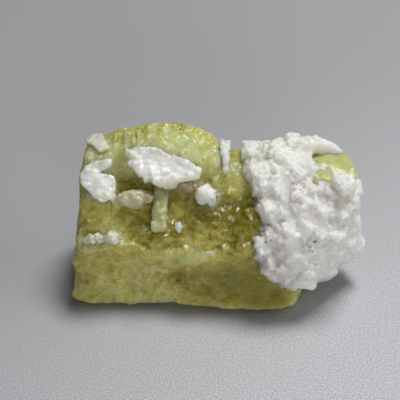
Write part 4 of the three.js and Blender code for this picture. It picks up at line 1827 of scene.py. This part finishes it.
@dataclass
class AlbiteCluster(FeldsparMass):
    """The big white mass on the right end, with the row of crystals along the top edge.

    `bare` and `calm` regions and the `top_row` carry none of the large or of the small crystals.
    """

    node: str = CLUSTER
    bodies: tuple[tuple[Triple, ...], ...] = CLUSTER_BODIES
    spacing: float = 0.15
    seed: int = 3
    rounding: float = 0.25
    fillet: float = 0.3
    warp: Pair = (0.45, 2.4)
    facets: Pair = (0.08, 1.3)
    grit: Pair = (0.015, 0.4)
    bare: tuple[Spot, ...] = on(
        CLUSTER,
        ((0.75, 0.69, 0.87), (3.6, 2.4, 2.0), 1.3),
        ((0.96, 0.55, 0.84), (1.2, 3.0, 3.0), 1.5),
        ((0.97, 0.45, 0.62), (1.0, 3.0, 2.0), 1.0),
        ((0.58, 0.73, 0.89), (1.8, 1.2, 1.3), 1.2),
    )
    calm: tuple[Spot, ...] = on(
        CLUSTER,
        ((0.82, 0.40, 0.50), (3.0, 4.0, 4.5), 0.9),
        ((0.35, 0.05, 0.12), (4.0, 2.5, 2.5), 0.9),
    )
    top_row: tuple[Spot, ...] = on(CLUSTER, ((0.60, 0.88, 0.92), (4.0, 2.0, 1.5), 1.5))
    swells: tuple[Spot, ...] = on(
        CLUSTER,
        ((0.20, 0.60, 0.83), (3.5, 2.5, 1.8), 0.9),
        ((0.25, 0.82, 0.91), (4.5, 2.5, 1.5), 0.8),
        ((0.57, 0.90, 0.92), (4.0, 1.0, 1.2), 0.3),
        ((0.98, 0.52, 0.81), (1.3, 4.0, 3.0), -1.5),
        ((0.63, 0.25, 0.03), (3.0, 3.0, 1.5), -0.7),
    )
    growths: tuple[Growth, ...] = (
        Growth(520, (0.6, 2.0), 1.6, proud=(0.08, 0.38), lean_spread=0.28, edge=0.03, barred=bare + top_row),
        Growth(3000, (0.2, 0.7), 1.6, (1.2, 0.6, 0.8), (0.1, 0.5), lean_spread=0.35, patches=(2.2, -0.1),
               barred=bare + calm),
    )
    shaded: tuple[Spot, ...] = on(
        CLUSTER,
        ((0.22, 0.15, 0.35), (3.0, 3.0, 4.0), 0.42),
        ((0.30, 0.08, 0.12), (3.0, 3.0, 3.0), 0.42),
    )
    greened: tuple[Spot, ...] = on(
        CLUSTER,
        ((0.05, 0.80, 0.85), (3.5, 4.0, 3.0), 0.6),
        ((0.30, 0.90, 0.95), (5.0, 3.0, 2.0), 0.35),
    )
    worn: tuple[Spot, ...] = on(
        CLUSTER,
        ((0.80, 0.88, 0.96), (1.7, 1.6, 1.2), 1.3),
        ((1.00, 0.50, 0.85), (1.6, 5.0, 3.5), 1.3),
        ((0.79, 0.65, 0.88), (1.8, 1.8, 1.3), 1.0),
    )
    specked: tuple[Spot, ...] = on(
        CLUSTER,
        ((0.42, 0.54, 0.80), (1.1, 2.4, 1.8), 1.2),
        ((0.54, 0.25, 0.45), (0.8, 3.5, 2.2), 1.3),
        ((0.16, 0.20, 0.50), (1.2, 2.5, 2.0), 1.0),
    )


def plates() -> tuple[FeldsparMass, ...]:
    """The white plates round the dome: the ledge, the strip on the shoulder and the patch on the corner.

    Returns:
        The pieces.
    """
    ledge = FeldsparMass(
        "albite_ledge", (LEDGE,), 0.1, 4, rounding=0.05, warp=(0.3, 1.8), facets=(0.08, 1.9), melt=2,
        thin_rim=0.5, coarse=0.3,
        growths=(
            Growth(90, (0.3, 0.9), 1.5, (1.3, 0.5, 0.8), (0.05, 0.4), lean_spread=0.4, least_facing=-0.6,
                   regions=on("albite_ledge", ((0.50, 0.10, 0.30), (5.0, 0.9, 1.2)),
                              ((0.08, 0.60, 0.70), (1.2, 1.6, 1.2)))),
            Growth(40, (0.2, 0.5), 1.5, proud=(0.05, 0.3), lean_spread=0.4,
                   regions=on("albite_ledge", ((0.85, 0.50, 0.60), (1.5, 1.5, 1.0)),
                              ((0.30, 1.00, 1.00), (2.0, 0.6, 0.8)))),
        ),
    )
    shoulder = FeldsparMass(
        "albite_shoulder", SHOULDER, 0.1, 5, rounding=0.05, warp=(0.3, 1.5), facets=(0.1, 1.3), melt=1,
        thin_rim=0.5, coarse=0.6, swells=on("albite_shoulder", ((0.50, 0.80, 0.90), (2.5, 0.9, 0.9), 0.35)),
        growths=(Growth(120, (0.2, 0.6), proud=(0.03, 0.4), patches=(1.2, 0.0)),),
    )
    corner = FeldsparMass("albite_corner", (CORNER,), 0.08, 6, rounding=0.03, warp=(0.15, 1.2), thin_rim=0.5,
                          coarse=0.5)
    return ledge, shoulder, corner


def grains() -> tuple[GrownSurface, ...]:
    """The small pieces: lumps, grains, the wedge in the notch, the clear crystal and the column.

    Returns:
        The pieces.
    """
    wedge, front = "albite_notch_wedge", "albite_front_grains"
    loose = Growth(60, (0.15, 0.5), lean_spread=0.5, proud=(0.1, 0.7))
    return (
        FeldsparMass(
            "feldspar_lobe", (lump((-11.7, -1.7, 14.5), (2.8, 1.3, 1.25), (0.5, 0, 0.12)),), 0.1, 7,
            rounding=0.03, warp=(0.3, 1.4), facets=(0.15, 1.0), thin_rim=0.4, coarse=0.5,
        ),
        FeldsparMass(
            "albite_centre_grain", (lump((-2.0, -1.0, 14.5), (1.45, 1.3, 1.5), (0.3, 0.5, 0.2)),), 0.08, 8,
            rounding=0.03, facets=(0.15, 0.9), thin_rim=0.3,
            growths=(Growth(30, (0.5, 1.2), lean_spread=0.4, proud=(0.05, 0.4)), loose),
        ),
        FeldsparMass(
            wedge, (WEDGE,), 0.08, 9, rounding=0.03, warp=(0.35, 1.4), facets=(0.15, 0.8), thin_rim=0.6,
            coarse=0.8,
            swells=on(wedge, ((0.0, 0.50, 0.60), (0.5, 0.7, 0.7), -0.4),
                      ((1.0, 0.25, 0.35), (0.6, 0.7, 0.7), -0.5)),
            worn=on(wedge, ((0.0, 0.25, 0.35), (0.6, 1.3, 1.0), 0.45),
                    ((1.0, 0.50, 0.60), (0.4, 0.8, 0.6), 0.3)),
            growths=(Growth(60, (0.2, 0.6), lean_spread=0.4, proud=(0.05, 0.5)), loose),
        ),
        FeldsparMass(
            front, FRONT_GRAINS, 0.07, 10, rounding=0.02, warp=(0.15, 0.9), facets=(0.12, 0.5), thin_rim=0.3,
            shaded=on(front, ((0.4, 0.5, 0.5), (4.0, 3.0, 3.0), 1.1),
                      ((0.88, 0.5, 0.6), (0.8, 1.0, 1.0), -0.45)),
            greened=on(front, ((0.3, 0.5, 0.5), (2.5, 3.0, 3.0), 0.3)),
            growths=(Growth(160, (0.15, 0.35), lean_spread=0.8, proud=(0.1, 0.7), patches=(0.8, 0.0)),),
        ),
        FeldsparMass(
            "rough_crumb", (lump((-4.7, -0.4, 15.7), (1.2, 1.0, 1.1), (0.2, 0.4, 0.7)),), 0.07, 12,
            rounding=0.03, growths=(Growth(80, (0.15, 0.4), lean_spread=0.6, proud=(0.1, 0.9)),),
        ),
        FeldsparMass(
            "clear_crystal", (CLEAR_CRYSTAL,), 0.05, 13, rounding=0.01, warp=(0.02, 1.0), facets=(0.02, 0.5),
            grit=(0.01, 0.3),
        ),
        PaleCrystal(
            "brazilianite_prism", (prism((-8.5, -5.2, 11.7), (-8.0, 0.2, 15.4), 0.95, 0.8, 0.45),), 0.08, 14,
            rounding=0.06, warp=(0.15, 1.5), facets=(0.1, 0.8),
            growths=(Growth(50, (0.3, 0.8), proud=(0.05, 0.4), patches=(1.2, 0.1)),),
        ),
    )


# ---------------------------------------------------------------- stage, light and camera

@dataclass(frozen=True)
class Lamp:
    """A square area light: its place and its side, in metres, and its power, in watts."""

    name: str
    place: Triple
    side: float
    power: float
    mirrored: bool = True


@dataclass
class Studio:
    """The floor, the lights and the camera.

    The floor's grain and shade change along a slant, 0.7 X - Y, and are plainer and darker at the back
    left: `grain_change` and `shade_change` are where on it, in metres, each change starts and ends.
    """

    elevation: float = 38.0
    lens: float = 80.0
    view_width: float = 56.0
    aim: Triple = (-2.76, 0.0, 13.0)
    lamps: tuple[Lamp, ...] = (
        Lamp("key", (0.12, 0.17, 0.50), 0.18, 2.65),
        Lamp("side", (0.45, 0.0, 0.28), 0.3, 0.6),
        Lamp("front", (0.08, -0.50, 0.09), 0.17, 1.1, mirrored=False),
    )
    surround: Colour = colour(0.62, 0.66, 0.72)
    surround_strength: float = 0.02
    floor_size: float = 4000.0
    floor_dark: Colour = colour(0.35, 0.355, 0.37)
    floor_pale: Colour = colour(0.57, 0.58, 0.61)
    floor_shade: Colour = colour(0.02, 0.015, 0.0)
    floor_grain: float = 4500.0
    floor_roughness: float = 0.55
    grain_change: Pair = (-0.02, 0.03)
    shade_change: Pair = (-0.05, 0.06)

    def build(self) -> None:
        """Makes the floor, the lights and the camera."""
        self.floor()
        self.lights()
        self.camera()

    def floor(self) -> None:
        """A plain pale floor with a fine satin grain, and painted shade that darkens it towards the back
        left.
        """
        half = self.floor_size / 2
        corners = np.array([[-half, -half, 0], [half, -half, 0], [half, half, 0], [-half, half, 0]], float)
        floor = make_object("floor", corners, np.array([[0, 1, 2, 3]]))
        material, nodes, shader = new_material("floor")
        place = nodes.place()
        grain = nodes.noise(place, self.floor_grain, 1.0).outputs["Fac"]
        split = nodes.add("ShaderNodeSeparateXYZ", Vector=place)
        slant = nodes.math("SUBTRACT", nodes.math("MULTIPLY", split.outputs["X"], 0.7), split.outputs["Y"])
        grainy = nodes.remap(slant, *self.grain_change, 0.25, 1.0)
        speck = nodes.math("MULTIPLY", nodes.math("SUBTRACT", grain, 0.5), grainy)
        tone = nodes.blend(nodes.remap(speck, -0.2, 0.2), self.floor_dark, self.floor_pale)
        tone = nodes.blend(nodes.remap(slant, *self.shade_change, 0.3, 0.0), tone, self.floor_shade)
        nodes.feed(shader.inputs["Base Color"], tone)
        shader.inputs["Roughness"].default_value = self.floor_roughness
        floor.data.materials.append(material)

    def lights(self) -> None:
        """A soft light above and behind, weaker ones from the right and the front, an even surround."""
        for lamp in self.lamps:
            self.area(lamp)
        world = bpy.data.worlds.new("surround")
        world.use_nodes = True
        background = world.node_tree.nodes["Background"]
        background.inputs["Color"].default_value = self.surround
        background.inputs["Strength"].default_value = self.surround_strength
        bpy.context.scene.world = world
        bpy.context.scene.view_settings.view_transform = "Standard"

    def area(self, lamp: Lamp) -> None:
        """An area light that shines at the specimen and isn't seen itself, unless it is mirrored.

        Args:
            lamp: its place, size and power.
        """
        made = bpy.data.lights.new(lamp.name, "AREA")
        made.size = lamp.side
        made.energy = lamp.power
        light = bpy.data.objects.new(lamp.name, made)
        light.location = lamp.place
        light.rotation_euler = (Vector((0, 0, 0.01)) - Vector(lamp.place)).to_track_quat("-Z", "Y").to_euler()
        light.visible_camera = False
        light.visible_glossy = light.visible_transmission = lamp.mirrored
        bpy.context.scene.collection.objects.link(light)

    def camera(self) -> None:
        """The camera, looking down at the specimen's front."""
        lens = bpy.data.cameras.new("camera")
        lens.lens = self.lens
        lens.clip_start = 0.005
        lens.clip_end = 20.0
        camera = bpy.data.objects.new("camera", lens)
        tilt = math.radians(self.elevation)
        distance = self.lens * self.view_width / lens.sensor_width
        back = Vector((0.0, -math.cos(tilt), math.sin(tilt)))
        camera.location = (Vector(self.aim) + back * distance) * MM
        camera.rotation_euler = (-back).to_track_quat("-Z", "Y").to_euler()
        bpy.context.scene.collection.objects.link(camera)
        bpy.context.scene.camera = camera


# ---------------------------------------------------------------- the specimen

class Slot(Enum):
    """The record's material slots."""

    BRAZILIANITE = "brazilianite"
    PALE_BRAZILIANITE = "pale_brazilianite"
    ALBITE = "albite"
    CREAM = "cream_albite"
    PINK = "pink_feldspar"
    CRUMB = "rough_crumb"
    CLEAR = "clear_crystal"


SLOT_OF_NODE: dict[str, Slot] = {
    CRYSTAL: Slot.BRAZILIANITE,
    "brazilianite_prism": Slot.PALE_BRAZILIANITE,
    "albite_corner": Slot.CREAM,
    "feldspar_lobe": Slot.PINK,
    "rough_crumb": Slot.CRUMB,
    "clear_crystal": Slot.CLEAR,
}


def finishes() -> dict[Slot, bpy.types.Material]:
    """Builds every finish, one for each slot.

    Returns:
        The materials by slot.
    """
    groups = Groups()
    made = {
        Slot.BRAZILIANITE: BrazilianiteFinish(),
        Slot.PALE_BRAZILIANITE: BrazilianiteFinish("pale_brazilianite", density=100.0),
        Slot.ALBITE: FeldsparFinish("albite", colour(0.88, 0.87, 0.84), colour(0.79, 0.775, 0.72)),
        Slot.CREAM: FeldsparFinish("cream_albite", colour(0.72, 0.70, 0.56), colour(0.62, 0.60, 0.44)),
        Slot.PINK: FeldsparFinish("pink_feldspar", colour(0.38, 0.29, 0.20), colour(0.30, 0.23, 0.15)),
        Slot.CRUMB: FeldsparFinish("rough_crumb", colour(0.40, 0.34, 0.22), colour(0.25, 0.2, 0.1)),
        Slot.CLEAR: FeldsparFinish("clear_crystal", colour(0.75, 0.8, 0.9), colour(0.7, 0.75, 0.85)),
    }
    return {slot: finish.make(groups) for slot, finish in made.items()}


def settle(piece: bpy.types.Object, node: str, materials: dict[Slot, bpy.types.Material]) -> None:
    """Dresses a piece, seats it on the root body and lets it stand for its CAD node.

    Args:
        piece: the piece's object.
        node: the CAD node it stands for.
        materials: the finishes.
    """
    slot = SLOT_OF_NODE.get(node, Slot.ALBITE)
    piece.data.materials.append(materials[slot])
    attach(piece, "root")
    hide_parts(node)
    LOG.info("%s: %d faces", piece.name, len(piece.data.polygons))


def main() -> None:
    """Builds the studio and the specimen."""
    logging.basicConfig(level=logging.INFO, format="%(message)s")
    Studio().build()
    materials = finishes()
    for piece in (BrazilianiteCrystal(), AlbiteCluster(), *plates(), *grains()):
        settle(piece.build(), piece.node, materials)


if __name__ == "__main__":
    main()
